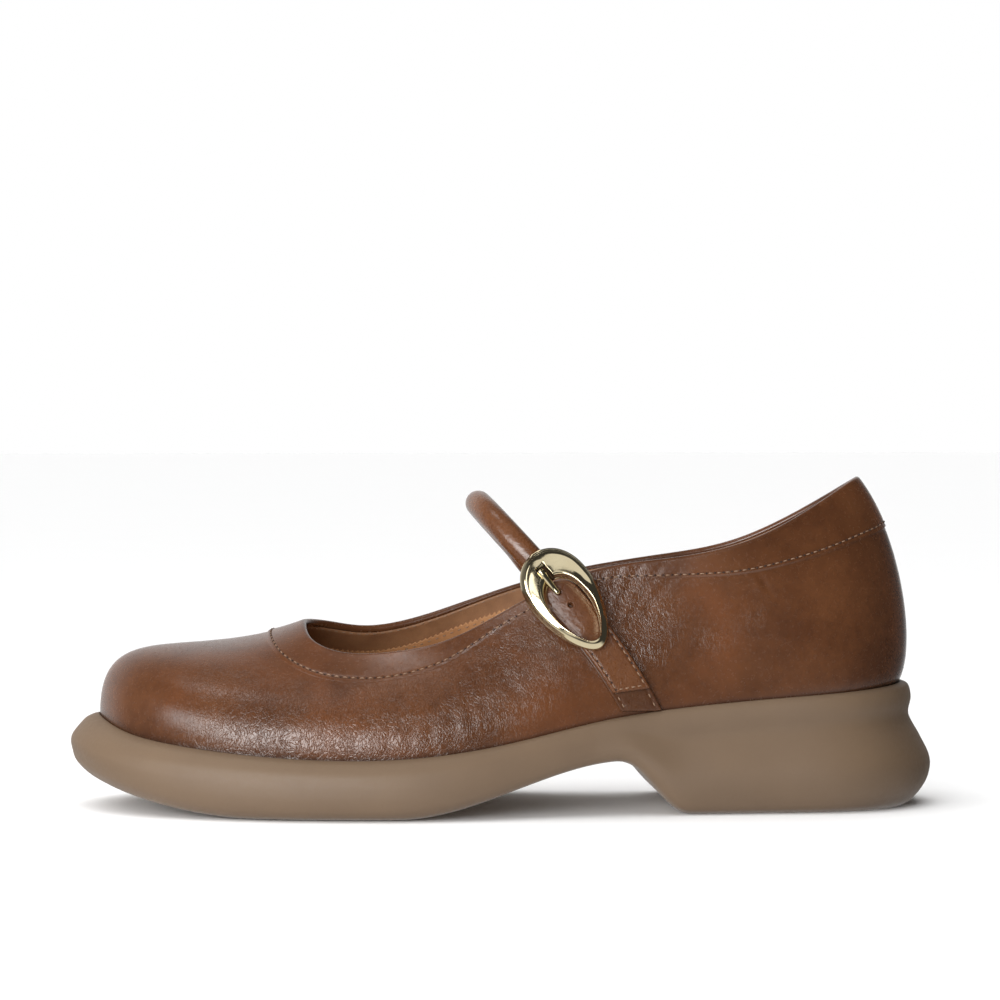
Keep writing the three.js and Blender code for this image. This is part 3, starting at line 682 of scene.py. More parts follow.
def metal_look():
    look = Look("gold_polished")
    look.set(Metallic=1.0)
    base = look.blend(look.noise(0.2, 2), rgb(0.74, 0.63, 0.4), rgb(0.8, 0.7, 0.47))
    shaded_slot = look.weight("shaded_slot")
    # Painted shade: the slot beside the prong is painted near-black for the shade inside it.
    look.colour(look.blend(shaded_slot, base, rgb(0.03, 0.018, 0.01)))
    scratches = look.noise(1, 4, 0.6, 0, look.stretched((2.5, 0.3, 2.5), (0.3, 0.2, 0)))
    worn = look.span(scratches, 0.35, 0.75, 0.06, 0.13)
    look.rough(look.math("ADD", worn, look.times(shaded_slot, 0.4)))
    look.bump(look.noise(0.35, 2), 0.005)
    return look.material


def thread_look():
    look = Look("thread_tan")
    twist = look.noise(2.8, 2, 0.5, 0.5)
    # Painted shade: the twist's low grooves are darker, from the same noise as the relief.
    shade = look.span(twist, 0.3, 0.7)
    look.colour(look.blend(shade, rgb(0.16, 0.095, 0.058), rgb(0.27, 0.17, 0.11)))
    look.set(Roughness=0.6)
    look.bump(twist, 0.08)
    return look.material


# Painted shade: a near-black look for marks that stand in for the shade inside the needle holes.
def hole_shade_look():
    look = Look("needle_hole_shade")
    look.colour(look.blend(look.noise(1.5, 2), rgb(0.02, 0.009, 0.005), rgb(0.035, 0.014, 0.007)))
    look.set(Roughness=0.8)
    look.bump(look.noise(3, 2), 0.03)
    return look.material


HOLE_SHADE = hole_shade_look()
RUBBER = rubber_look()
METAL = metal_look()
THREAD = thread_look()

# Creases of the upper by side: station, t, lean from upright in degrees, length, half width and
# height in millimetres. Troughs are negative.
CREASES = {OUTER: [
    [0.612, 0.84, 8, 24, 0.9, -0.2],
    [0.624, 0.8, 14, 30, 1.0, -0.26],
    [0.633, 0.82, 17, 26, 1.1, 0.16],
    [0.641, 0.77, 20, 30, 1.0, -0.24],
    [0.652, 0.76, 24, 26, 1.2, 0.14],
    [0.66, 0.75, 26, 24, 1.1, -0.2],
    [0.676, 0.72, 30, 22, 1.3, -0.16],
    [0.69, 0.8, 38, 18, 1.3, -0.12],
    [0.815, 0.72, -29, 8, 0.6, -0.26],
    [0.806, 0.72, -26, 9, 0.7, 0.12],
    [0.43, 0.24, -6, 22, 1.1, -0.22],
    [0.441, 0.26, -8, 24, 1.1, 0.14],
    [0.452, 0.28, -10, 26, 1.1, -0.22],
    [0.47, 0.32, -14, 22, 1.3, -0.16],
    [0.402, 0.2, -2, 22, 1.2, -0.2],
    [0.378, 0.18, 3, 20, 1.2, -0.16],
    [0.352, 0.17, 6, 18, 1.2, -0.12],
    [0.5, 0.45, -18, 26, 2.2, -0.2],
    [0.36, 0.34, 62, 30, 3.5, 0.2],
    [0.27, 0.3, 70, 36, 4.0, 0.18],
], INNER: [
    [0.43, 0.26, -4, 24, 1.2, -0.2],
    [0.455, 0.3, -8, 26, 1.2, -0.2],
    [0.4, 0.22, 2, 22, 1.2, -0.16],
    [0.48, 0.42, -12, 28, 1.8, -0.2],
    [0.51, 0.6, -20, 26, 1.8, -0.18],
    [0.62, 0.55, 14, 26, 1.6, -0.2],
    [0.65, 0.5, 20, 28, 1.6, -0.16],
]}

# Where the grain is crinkled, by side: station, t, half width in millimetres and amount.
CRINKLES = {OUTER: [
    [0.2, 0.2, 20, 0.85],
    [0.3, 0.18, 22, 0.8],
    [0.42, 0.3, 22, 0.9],
    [0.5, 0.62, 19, 0.6],
    [0.63, 0.85, 9, 1.0],
    [0.655, 0.62, 10, 1.0],
    [0.64, 0.42, 9, 0.6],
    [0.75, 0.42, 7, 0.16],
    [0.8, 0.52, 6, 0.14],
], INNER: [
    [0.44, 0.35, 32, 0.9],
    [0.56, 0.6, 26, 0.6],
    [0.68, 0.6, 22, 0.4],
]}
SECTION_SPAN = 56


def relief(u, t):
    """Creases and the crinkle weight at places of the outer surface."""
    point = upper_point(u, t)
    outside = np.mod(u, TURN) < HALF_TURN
    height, amount = np.zeros(point.shape[:-1]), np.zeros(point.shape[:-1])

    def from_middle(station, middle):
        return point[..., 0] - station_x(station), (t - middle) * SECTION_SPAN

    for side, here in ((OUTER, outside), (INNER, ~outside)):
        for station, middle, lean, length, width, depth in CREASES[side]:
            dx, dz = from_middle(station, middle)
            c, s = math.cos(math.radians(lean)), math.sin(math.radians(lean))
            across, along = dx * c - dz * s, dx * s + dz * c
            bend = along**2 / length * 0.12
            field = depth * bell((across - bend) / width) * bell(along / (length / 2))
            height += np.where(here, field, 0)
        for station, middle, width, strength in CRINKLES[side]:
            field = strength * bell(np.hypot(*from_middle(station, middle)) / width)
            amount += np.where(here, field, 0)
    return height * ease(t / 0.06), np.clip(amount, 0, 1)


# The upper's leather: a folded topline, the band as a step with a stitched groove, and its outside
FOLD_DEPTH = 0.6
LEATHER_INSIDE = 0.05
STITCH_SHARE = 0.92
BAND_ROWS = [
    0.05, 0.12, 0.25, 0.4, 0.55, 0.7, 0.8, 0.86, 0.89, 0.905, 0.92, 0.935, 0.95, 0.975, 1,
]
BAND_EDGE = 0.35
FOLD_RISE = 0.85
UPPER_COLUMNS = 640
UPPER_ROWS = 64
LINE_PLACES = 1200

# Place from the toe along either side, then the depth below the topline in millimetres.
STITCH_DEPTHS = [
    [0, 10.3], [26, 10.3], [44, 10.2], [58, 10.5], [70, 11.2], [82, 11.5], [94, 11.2], [104, 10.2],
    [112, 8.8], [121, 7.1], [133, 4.7], [140, 3.6], [147, 3.2], [156, 3.2], [168, 2.8], [179, 2.6],
    [189, 3.3], [200, 4.2], [212, 5.2], [222, 6.6], [230, 7.9], [241, 10.1], [249, 12.1],
    [257, 13.8], [266, 14.9], [278, 15.8],
]
FACING_DEPTHS = [
    [0, 11], [60, 11], [90, 11], [103, 10.6], [114, 9.4], [122, 8.1], [130, 7.1], [142, 6.6],
    [160, 6], [190, 6], [220, 7.5], [245, 9.5], [270, 12],
]


def two_sided(table):
    """A smooth depth over the whole turn, the same on both sides."""
    places = [place for place, _ in table]
    depths = [depth for _, depth in table]
    places += [HALF_TURN] + [TURN - place for place in places[:0:-1]]
    depths += [depths[-1]] + depths[:0:-1]
    line = ClosedSpline(np.array(places), np.array(depths)[:, None], TURN)
    return lambda u: line(u)[..., 0]


stitch_depth = two_sided(STITCH_DEPTHS)
facing_depth = two_sided(FACING_DEPTHS)


def stitch_t(u):
    return t_at_depth(u, stitch_depth(u))


def groove(share):
    return -0.2 * bell((share - STITCH_SHARE) / 0.028)


def foot_ring(around, inset, up):
    """The feather line moved inwards, that high above the sole's seat."""
    row = SHOE(around)
    ring = row[:, FOOT] - plan_normal(around) * inset
    ring[:, 2] = row[:, FLOOR] + up
    return ring


def upper_leather():
    around = np.linspace(0, TURN, UPPER_COLUMNS, endpoint=False)
    band = stitch_depth(around) / STITCH_SHARE
    lifted = band_lift(around)
    middle = WALL / 2
    fold_t = t_at_depth(around, FOLD_DEPTH)
    rings, crinkles, painted_shades = [], [], []

    def put(points, crinkle=0.1, painted_shade=0.0):
        rings.append(points)
        crinkles.append(np.broadcast_to(crinkle, around.shape))
        painted_shades.append(np.broadcast_to(painted_shade, around.shape))

    put(foot_ring(around, middle, CLEARANCE))
    for share in np.linspace(0, 1, 9):
        put(off_upper(around, fold_t * share, -middle))
    inner = WALL + LEATHER_INSIDE
    # Painted shade: the inner face under the topline is painted darker, and the fold over it less
    # so.
    for share in np.linspace(0, 0.9, 4):
        put(off_upper(around, mix(fold_t, 1, share), -inner), 0.1, -0.25)
    out = upper_normal(around, 1)
    rise = unit(upper_point(around, 1) - upper_point(around, 0.99))
    centre = off_upper(around, 1, (lifted - inner) / 2)
    radius = ((lifted + inner) / 2)[:, None]
    for angle in np.linspace(math.pi, 0, 9):
        over = out * math.cos(angle) + rise * FOLD_RISE * math.sin(angle)
        put(centre + radius * over, 0.1, -0.1)
    for share in BAND_ROWS:
        t = t_at_depth(around, band * share)
        height, crinkle = relief(around, t)
        height = height + lifted + groove(share) * np.minimum(1, band / BAND_WIDTH)
        put(off_upper(around, t, height), crinkle)
    top_t = t_at_depth(around, band + BAND_EDGE)
    for share in np.linspace(1, 0, UPPER_ROWS):
        t = top_t * share
        height, crinkle = relief(around, t)
        station = upper_point(around, t)[:, 0] / LAST_LENGTH + 0.5
        # Painted shade: darker at the back of the heel and along the foot of the upper by the sole.
        painted_shade = -0.28 * bell((station - 1.0) / 0.055) - 0.5 * bell(t / 0.02)
        put(off_upper(around, t, height), crinkle, painted_shade)
    # Painted shade: the ring where the upper meets the sole is darkest.
    put(foot_ring(around, 0, CLEARANCE), 0, -0.8)
    weights = {"crinkle": np.stack(crinkles), "painted_shade": np.stack(painted_shades)}
    add_shell("upper_leather", rings, LEATHER, ["upper"], weights)


PINKING = 0.45
PINK_COUNT = 560


def inner_places(count):
    return even_places(count, lambda u: off_upper(u, 0.88, -WALL))


def upper_lining():
    around = inner_places(PINK_COUNT)
    top_t = t_at_depth(around, facing_depth(around) + PINKING * (-1.0) ** np.arange(PINK_COUNT))
    inner, back = WALL + 0.1, WALL * 0.55
    rings = [foot_ring(around, WALL - 0.1, CLEARANCE)]
    for share in np.concatenate([np.linspace(0, 0.92, 24), [0.95, 0.97, 0.985, 1]]):
        lift = -inner - 0.45 * ease((share - 0.7) / 0.25)
        rings.append(off_upper(around, top_t * share, lift))
    rings.append(off_upper(around, top_t, -WALL - 0.2))
    for share in np.linspace(1, 0, 10):
        rings.append(off_upper(around, top_t * share, -back))
    rings.append(foot_ring(around, back, CLEARANCE))
    add_shell("upper_lining", rings, LINING)


def lining_facing():
    """The band of smooth leather inside, between the fold and the lining."""
    around = inner_places(400)
    rings = []
    for lift, shares in ((-WALL - 0.3, np.linspace(1, 0, 8)), (-WALL + 0.25, np.linspace(0, 1, 3))):
        for share in shares:
            t = t_at_depth(around, mix(FOLD_DEPTH - 0.1, facing_depth(around) + 1.2, share))
            rings.append(off_upper(around, t, lift))
    add_shell("lining_facing", rings, FACING)


def upper_stitches():
    around = np.linspace(0, TURN, LINE_PLACES, endpoint=False)
    t = stitch_t(around)
    lift = band_lift(around) - 0.2 * np.minimum(1, stitch_depth(around) / BAND_WIDTH) + 0.1
    line = off_upper(around, t, lift)
    outside = thread_run(line, upper_normal(around, t), BAND_PITCH, closed=True)
    # Dark marks between the stitches: painted shade of the needle holes.
    stitch_piece("needle_hole_shade_band", [between(outside)], HOLE_SHADE, 0.75, 0.3)
    stitch_piece("stitches_band", [outside], THREAD)


def facing_stitches():
    around = np.linspace(0, TURN, LINE_PLACES, endpoint=False)
    runs = []
    for depth, lift in ((FOLD_DEPTH + 0.35, 0.33), (facing_depth(around) + 1.5, 0.55)):
        t = t_at_depth(around, depth)
        points = off_upper(around, t, -WALL - lift)
        runs.append(thread_run(points, -upper_normal(around, t), closed=True))
    stitch_piece("stitches_facing", runs, THREAD, radius=0.18)


# The sole: a seat, the smooth side profile and an underside with wavy grooves
def places_around(count):
    side = np.linspace(0, HALF_TURN, count // 2 + 1)
    return np.concatenate([side, TURN - side[-2:0:-1]])


def across_sheet(ring, columns, shape=None):
    """Rows of points from the outer half of a ring to its inner half, toe to heel."""
    half = len(ring) // 2
    outer, inner = ring[: half + 1], np.vstack([ring[:1], ring[:half - 1:-1]])
    share = np.linspace(0, 1, columns)[None, :, None]
    sheet = mix(outer[:, None, :], inner[:, None, :], share)
    return shape(sheet, share[..., 0]) if shape else sheet


def smooth_rows(rows, steps):
    """Catmull-Rom rows through the given ones, along the first axis."""
    padded = np.concatenate([rows[:1] * 2 - rows[1:2], rows, rows[-1:] * 2 - rows[-2:-1]])
    result = []
    for k in range(1, len(padded) - 2):
        a, b, c, d = padded[k - 1: k + 3]
        for step in range(steps):
            t = step / steps
            result.append(
                b + 0.5 * t * (c - a + t * (2 * a - 5 * b + 4 * c - d + t * (3 * (b - c) + d - a)))
            )
    result.append(rows[-1])
    return np.stack(result)


GROOVE_PITCH = 6.2
GROOVE_DEPTH = 1.0


def tread(points, share):
    x, y = points[..., 0], points[..., 1]
    station = x / LAST_LENGTH + 0.5
    points = points.copy()
    wave = np.cos(2 * math.pi * (x / GROOVE_PITCH + 0.28 * np.sin(y / 4.6)))
    inside = ease(share / 0.07) * ease((1 - share) / 0.07)
    width = np.ptp(points[..., 1], axis=1)[:, None]
    inside = np.where(width > 24, inside, 0)
    forefoot = ease((station - 0.06) / 0.03) * ease((0.42 - station) / 0.03)
    heel = ease((station - 0.745) / 0.02) * ease((0.965 - station) / 0.02)
    grooves = ease((wave - 0.35) / 0.45) * inside * np.clip(forefoot + heel, 0, 1)
    points[..., 2] = underside(x) + GROOVE_DEPTH * grooves
    return points


def sole_unit():
    around = places_around(560)
    reach, high = profile(around)
    level = np.ones(len(around))
    table = np.stack([np.vstack([level * CLEARANCE, reach]), np.vstack([level, high])], 1)
    seat = foot_ring(around, -CLEARANCE, 0)
    rings = [seat] + [sole_ring(around, r, np.clip(h, 0, 1)) for r, h in smooth_rows(table, 5)]
    top, bottom = across_sheet(seat, 6), across_sheet(rings[-1], 60, tread)
    add_filled("sole_unit", rings, top, bottom, RUBBER, "sole")


# The footbed's edge: millimetres in from the wall, and down from its top
FOOTBED_EDGE = [
    [1.6, 0], [1.0, 0.06], [0.6, 0.3], [0.3, 0.7], [0.16, 1.3], [0.15, INSOLE_THICKNESS],
]


def dished(points, share):
    points = points.copy()
    points[..., 2] -= 0.9 * (4 * share * (1 - share)) ** 2
    return points


def footbed():
    around = places_around(320)
    wall, high = WALL + CLEARANCE, CLEARANCE + INSOLE_THICKNESS
    rings = [foot_ring(around, wall + inset, high - down) for inset, down in FOOTBED_EDGE]
    top, bottom = across_sheet(rings[0], 26, dished), across_sheet(rings[-1], 4)
    add_filled("footbed", rings, top, bottom, FOOTBED, "insole")


# Strips of leather on the upper's sides
HALF_PLACES = np.linspace(0, HALF_TURN, 1500)


def foot_u(station, side):
    around = HALF_PLACES if side == OUTER else TURN - HALF_PLACES
    return np.interp(station_x(station), SHOE(around)[:, 0], around)


def side_place(place, side):
    station, share = place
    row = SHOE(foot_u(station, side))
    return np.array([station_x(station), mix(row[2], row[TOP][2], share)])


def on_upper(x, z, side):
    """The surface places (u, t) seen at x and z from one side, by Newton steps."""
    x, z = np.broadcast_arrays(np.asarray(x, float), np.asarray(z, float))
    reach = 0.01
    u = np.full(x.shape, HALF_TURN / 2 if side == OUTER else TURN - HALF_TURN / 2)
    t = np.full(x.shape, 0.5)
    for _ in range(30):
        at = upper_point(u, t)
        du = (upper_point(u + reach, t) - at) / reach
        dt = (upper_point(u, t + reach) - at) / reach
        miss_x, miss_z = x - at[..., 0], z - at[..., 2]
        area = du[..., 0] * dt[..., 2] - du[..., 2] * dt[..., 0]
        step_u = (miss_x * dt[..., 2] - miss_z * dt[..., 0]) / area
        step_t = (miss_z * du[..., 0] - miss_x * du[..., 2]) / area
        u = u + np.clip(step_u, -20, 20)
        t = t + np.clip(step_t, -0.3, 0.3)
    return u, t


class SideLine:
    """A quadratic curve in the side view, walked by its length."""

    def __init__(self, places, side):
        a, b, c = (side_place(place, side) for place in places)
        t = np.linspace(0, 1, 401)[:, None]
        self.points = a * (1 - t) ** 2 + b * 2 * t * (1 - t) + c * t**2
        self.walked = walk(self.points)
        self.length = self.walked[-1]
        self.side = side

    def at(self, stop):
        where = np.asarray(stop) * self.length
        return np.stack([np.interp(where, self.walked, self.points[:, k]) for k in (0, 1)], -1)

    def way(self, stop):
        stop = np.clip(stop, 0.002, 0.998)
        return unit(self.at(stop + 0.002) - self.at(stop - 0.002))

    def places(self, stop, offset):
        """Surface places beside the line: cut level at the lower end, square from half-way."""
        stop, offset = np.broadcast_arrays(np.asarray(stop, float), np.asarray(offset, float))
        way = self.way(stop)
        square = np.stack([way[..., 1], -way[..., 0]], -1)
        level = np.stack([1 / way[..., 1], np.zeros_like(way[..., 0])], -1)
        point = self.at(stop) + mix(level, square, ease(stop / 0.5)[..., None]) * offset[..., None]
        rim = SHOE(foot_u(point[..., 0] / LAST_LENGTH + 0.5, self.side))[..., 2]
        return on_upper(point[..., 0], np.maximum(point[..., 1], rim + CLEARANCE), self.side)


TAB = SideLine(TAB_LINE, OUTER)
ANCHOR = SideLine(ANCHOR_LINE, INNER)
TAB_LIFT = CLEARANCE + BASE_THICKNESS + CLEARANCE


def strip(name, node, line, stops, half, lift, thickness, across, shape=None, margin=1.1, painted_shade=0.0):
    """A stitched strip with round edges. shape gives an extra height at (stop, offset)."""
    stops, half = np.asarray(stops, float), np.asarray(half, float)
    corner = np.minimum(0.42 * thickness, half * 0.8)
    turns = np.linspace(0, math.pi / 2, 5)
    flat = np.linspace(-1, 1, across)
    round_out = [half - corner + corner * np.cos(a) for a in turns]
    round_up = [thickness - corner + corner * np.sin(a) for a in turns]
    level = np.full_like(half, thickness)
    offsets = [(half - corner * 0.5) * k for k in flat] + round_out
    offsets += [(half - corner) * k for k in flat[-2:0:-1]] + [-out for out in round_out[::-1]]
    heights = [0 * level] * across + round_up + [level] * (across - 2) + round_up[::-1]
    offsets, heights = np.stack(offsets, 1), np.stack(heights, 1)
    top = heights > thickness * 0.9
    seam = bell((np.abs(offsets) - (half[:, None] - margin)) / 0.45)
    heights = np.where(top, heights - 0.16 * seam * (half[:, None] > 2.5), heights)
    ends = np.minimum(stops - stops[0], stops[-1] - stops) * line.length
    heights = heights * mix(0.55, 1, ease(ends / 0.5))[:, None]
    if shape is not None:
        heights = heights + np.where(top, shape(stops[:, None], offsets), 0)
    u, t = line.places(stops[:, None], offsets)
    points = off_upper(u, t, lift + heights)
    if line.side == INNER:
        points = points[:, ::-1]
    weights = {"painted_shade": np.full(points.shape[:2], painted_shade)}
    add_tube(name, points, STRAP_LEATHER, [node], weights)


def line_stitches(line, places, lift, pitch=STITCH_PITCH):
    """A run of stitches along (stop, offset) places."""
    stop, offset = np.array(places, float).T
    walk = np.linspace(0, len(stop) - 1, 60 * len(stop))
    stop = np.interp(walk, np.arange(len(stop)), stop)
    offset = np.interp(walk, np.arange(len(offset)), offset)
    u, t = line.places(stop, offset)
    return thread_run(off_upper(u, t, lift), upper_normal(u, t), pitch)


TIP_START = 1 - TAB_END_WIDTH / 2 / TAB.length
HOLE_FROM_END = 3.8
HOLE_RADIUS = 0.72
TAB_SPREAD = 0.8
BASE_MARGIN = 1.4


def tab_half(stop):
    into = np.clip((stop - TIP_START) / (1 - TIP_START), 0, 1)
    wide = ease((stop - TAB_WIDENS) / (TIP_START - TAB_WIDENS))
    return mix(TAB_WIDTH + TAB_SPREAD, TAB_END_WIDTH, wide) / 2 * np.sqrt(1 - into**2)


def tab_shape(stop, offset):
    """The end swells through the buckle's opening and has its two holes."""
    length = TAB.length
    dome = 0.9 * ease((stop - 0.52) / 0.15) * ease((1.02 - stop) / 0.08)
    height = dome * np.clip(1 - (offset / (TAB_END_WIDTH / 2)) ** 2, 0, 1)
    for k in range(HOLE_COUNT):
        middle = 1 - (HOLE_FROM_END + k * HOLE_SPACING) / length
        far = np.hypot((stop - middle) * length, offset)
        height = height - (TAB_THICKNESS * 0.8 + dome) * ease((HOLE_RADIUS + 0.12 - far) / 0.24)
        height = height + 0.1 * bell((far - HOLE_RADIUS - 0.3) / 0.25)
    return height


def tab_pieces():
    low = np.linspace(TAB_STARTS, 0.5, 90)
    high = np.linspace(0.5, TIP_START, 90)
    tip = mix(TIP_START, 1, np.sin(np.linspace(0, 0.985, 26) * math.pi / 2))
    start = TAB_STARTS + np.array([0, 0.12, 0.3]) / TAB.length
    stops = np.concatenate([start, low[1:], high[1:], tip[1:]])
    strip(
        "strap_tab_leather", "strap_tab", TAB, stops, tab_half(stops), TAB_LIFT, TAB_THICKNESS, 46,
        tab_shape,
    )
    base = np.linspace(BASE_STARTS, BASE_ENDS, 110)
    # Painted shade: the base lies under the tab and is painted darker.
    strip(
        "tab_base_leather", "tab_base", TAB, base, np.full_like(base, BASE_WIDTH / 2), CLEARANCE,
        BASE_THICKNESS, 24, margin=BASE_MARGIN, painted_shade=-0.35,
    )
    edge = 1.15
    first = TAB_STARTS + edge / TAB.length
    side = [[s, tab_half(s) - edge] for s in np.linspace(first, TIP_START, 12)]
    last, reach = 1 - edge / TAB.length, TAB_END_WIDTH / 2 - edge
    turn = [
        [mix(TIP_START, last, math.sin(a)), reach * math.cos(a)]
        for a in np.linspace(0.1, math.pi / 2, 7)
    ]
    path = side + turn + [[s, -o] for s, o in (side + turn)[-2::-1]]
    lift = TAB_LIFT + TAB_THICKNESS - THREAD_SINKS
    runs = [
        line_stitches(TAB, path, lift),
        line_stitches(TAB, [[first, -o] for o in np.linspace(-3.6, 3.6, 5)], lift, 1.9),
    ]
    lift = CLEARANCE + BASE_THICKNESS - THREAD_SINKS
    for way in (-1, 1):
        path = [[s, way * (BASE_WIDTH / 2 - BASE_MARGIN)] for s in (BASE_STARTS + 0.02, 0.12, 0.2)]
        runs.append(line_stitches(TAB, path, lift))
    # Dark marks between the stitches: painted shade of the needle holes.
    stitch_piece("needle_hole_shade_tab", [between(runs[0])], HOLE_SHADE, 0.7, 0.28)
    stitch_piece("stitches_tab", runs, THREAD)


def anchor_half(stop):
    narrow = ease((stop - ANCHOR_NARROWS) / (1 - ANCHOR_NARROWS))
    return mix(ANCHOR_WIDTH, STRAP_DIAMETER, narrow) / 2


def anchor_pieces():
    stops = np.linspace(0, 1, 120)
    strip(
        "strap_anchor_leather", "strap_anchor", ANCHOR, stops, anchor_half(stops), CLEARANCE,
        ANCHOR_THICKNESS, 34,
    )
    edge = 1.2
    first = edge / ANCHOR.length
    side = [[s, anchor_half(s) - edge] for s in np.linspace(first, 0.8, 12)]
    path = [[s, -o] for s, o in side[::-1]] + side
    lift = CLEARANCE + ANCHOR_THICKNESS - THREAD_SINKS
    stitch_piece("stitches_anchor", [line_stitches(ANCHOR, path, lift)], THREAD)


# The buckle: its own axes lie in the plane that touches the upper behind it
BEHIND = on_upper(*side_place(BUCKLE_CENTRE, OUTER), OUTER)
BUCKLE_ORIGIN = upper_point(*BEHIND)
BUCKLE_OUT = upper_normal(*BEHIND)
BUCKLE_LIFT = TAB_LIFT + TAB_THICKNESS + CLEARANCE + BUCKLE_STANDOFF


def buckle_plane(centre, lean):
    """A function from places along, across and out of the buckle to the shoe's."""
    lean = math.radians(lean)
    along_way = np.array([math.sin(lean), 0, -math.cos(lean)])
    along_way = unit(along_way - BUCKLE_OUT * (along_way @ BUCKLE_OUT))
    across_way = np.cross(along_way, BUCKLE_OUT)

    def place(along, across, out):
        parts = np.broadcast_arrays(*(np.asarray(v, float) for v in (along, across, out)))
        along, across, out = (v[..., None] for v in parts)
        return centre + along_way * along + across_way * across + BUCKLE_OUT * (BUCKLE_LIFT + out)

    return place


def egg(angle, centre, length, width, taper):
    c, s = np.cos(angle), np.sin(angle)
    return np.stack([centre + length / 2 * c, width / 2 * s * (1 - taper * c)], -1)


# The metal is a little smaller than the sizes above and turned more upright.
METAL_LENGTH = 35.7
METAL_WIDTH = 20.7
METAL_LEAN = 33.3
METAL_SHIFT = np.array([-0.8, 0, 0.05])

on_buckle = buckle_plane(BUCKLE_ORIGIN, BUCKLE_LEAN)
on_metal = buckle_plane(BUCKLE_ORIGIN + METAL_SHIFT, METAL_LEAN)

OUTER_EGG = (0, METAL_LENGTH, METAL_WIDTH, 0.24)
OPENING_EGG = (
    (PLATE_WIDTH - RIM_WIDTH) / 2, METAL_LENGTH - RIM_WIDTH - PLATE_WIDTH,
    METAL_WIDTH - 2 * SIDE_WIDTH, 0.12,
)

# Cross section of the frame: millimetres in from its edge, share of the rest, share of its height.
# A round shoulder, a nearly flat band that rises to a crest, and a sloping wall to the opening.
SHOULDER = 1.9
FRAME_SECTION = [
    [0.12, 0, 0],
    [0, 0, 0.16],
    [0.05, 0, 0.3],
    [0.2, 0, 0.41],
    [0.6, 0, 0.545],
    [1.0, 0, 0.67],
    [1.4, 0, 0.77],
    [SHOULDER, 0, 0.84],
    [SHOULDER, 0.14, 0.87],
    [SHOULDER, 0.3, 0.91],
    [SHOULDER, 0.5, 0.955],
    [SHOULDER, 0.64, 0.98],
    [SHOULDER, 0.74, 0.965],
    [SHOULDER, 0.83, 0.86],
    [SHOULDER, 0.91, 0.62],
    [SHOULDER, 0.98, 0.3],
    [SHOULDER, 1.0, 0.1],
    [SHOULDER, 0.93, 0],
]
PRONG_STARTS = -12.2
PRONG_ENDS = -2.9
PRONG_SIDES = (2.0, 1.1)


def buckle_pieces():
    steps = 420
    angle = 2 * math.pi * np.arange(steps) / steps
    angle = -(angle + 0.5 * np.sin(angle))
    outer, inner = egg(angle, *OUTER_EGG), egg(angle, *OPENING_EGG)
    width = np.linalg.norm(outer - inner, axis=1)
    knots = np.arange(len(FRAME_SECTION))
    section_line = ClosedSpline(knots, FRAME_SECTION, len(knots))
    rows = section_line(np.linspace(0, len(knots), 96, endpoint=False))
    rings, shaded_slots = [], []
    plate = ease((0.45 - np.sin(angle)) / 0.5) * ease((0.2 - np.cos(angle)) / 0.6)
    for i in range(steps):
        rest = np.clip(rows[:, 1], 0, 1) ** (1 - 0.6 * plate[i])
        inward = (rows[:, 0] + rest * (width[i] - SHOULDER)) / width[i]
        place = mix(outer[i], inner[i], inward[:, None])
        high = np.clip(rows[:, 2], 0, 1) * BUCKLE_HEIGHT
        beside = place[:, 1] - np.interp(place[:, 0], (PRONG_STARTS, PRONG_ENDS), PRONG_SIDES)
        shaded_slot = ease((place[:, 0] - PRONG_STARTS + 0.9) / 0.3)
        shaded_slot = shaded_slot * ease((PRONG_ENDS + 1 - place[:, 0]) / 0.5)
        shaded_slot = shaded_slot * ease((1.75 - np.abs(beside + 0.75)) / 0.25)
        high = np.where(high > 0.3 * BUCKLE_HEIGHT, mix(high, 0.3 * BUCKLE_HEIGHT, shaded_slot), high)
        shaded_slots.append(shaded_slot)
        rings.append(on_metal(place[:, 0], place[:, 1], high))
    # The slot's mask goes with the piece; the look paints it dark as painted shade.
    weights = {"shaded_slot": np.stack(shaded_slots)}
    add_shell("buckle_frame_metal", rings, METAL, ["buckle_frame"], weights)

    share = np.concatenate([
        [0, 0.01, 0.03, 0.06], np.linspace(0.1, 0.9, 14), [0.94, 0.97, 0.99, 1],
    ])
    ends = np.sqrt(np.clip(1 - np.clip((0.06 - share) / 0.06, 0, 1) ** 2, 0.02, 1))
    ends *= np.sqrt(np.clip(1 - np.clip((share - 0.93) / 0.07, 0, 1) ** 2, 0.02, 1))
    half = PRONG_WIDTH / 2 * mix(1.15, 0.95, share) * ends
    base = mix(BUCKLE_HEIGHT * 0.66, 0.05, ease(share)) + CLEARANCE
    turns = np.arange(20) * 2 * math.pi / 20
    along = mix(PRONG_STARTS, PRONG_ENDS, share)
    side = mix(*PRONG_SIDES, share)
    points = on_metal(
        along[:, None], side[:, None] + half[:, None] * np.cos(turns),
        base[:, None] + (PRONG_WIDTH / 2 + half[:, None] * np.sin(turns)) * 0.86,
    )
    add_tube("buckle_prong_metal", points, METAL, ["buckle_prong"])


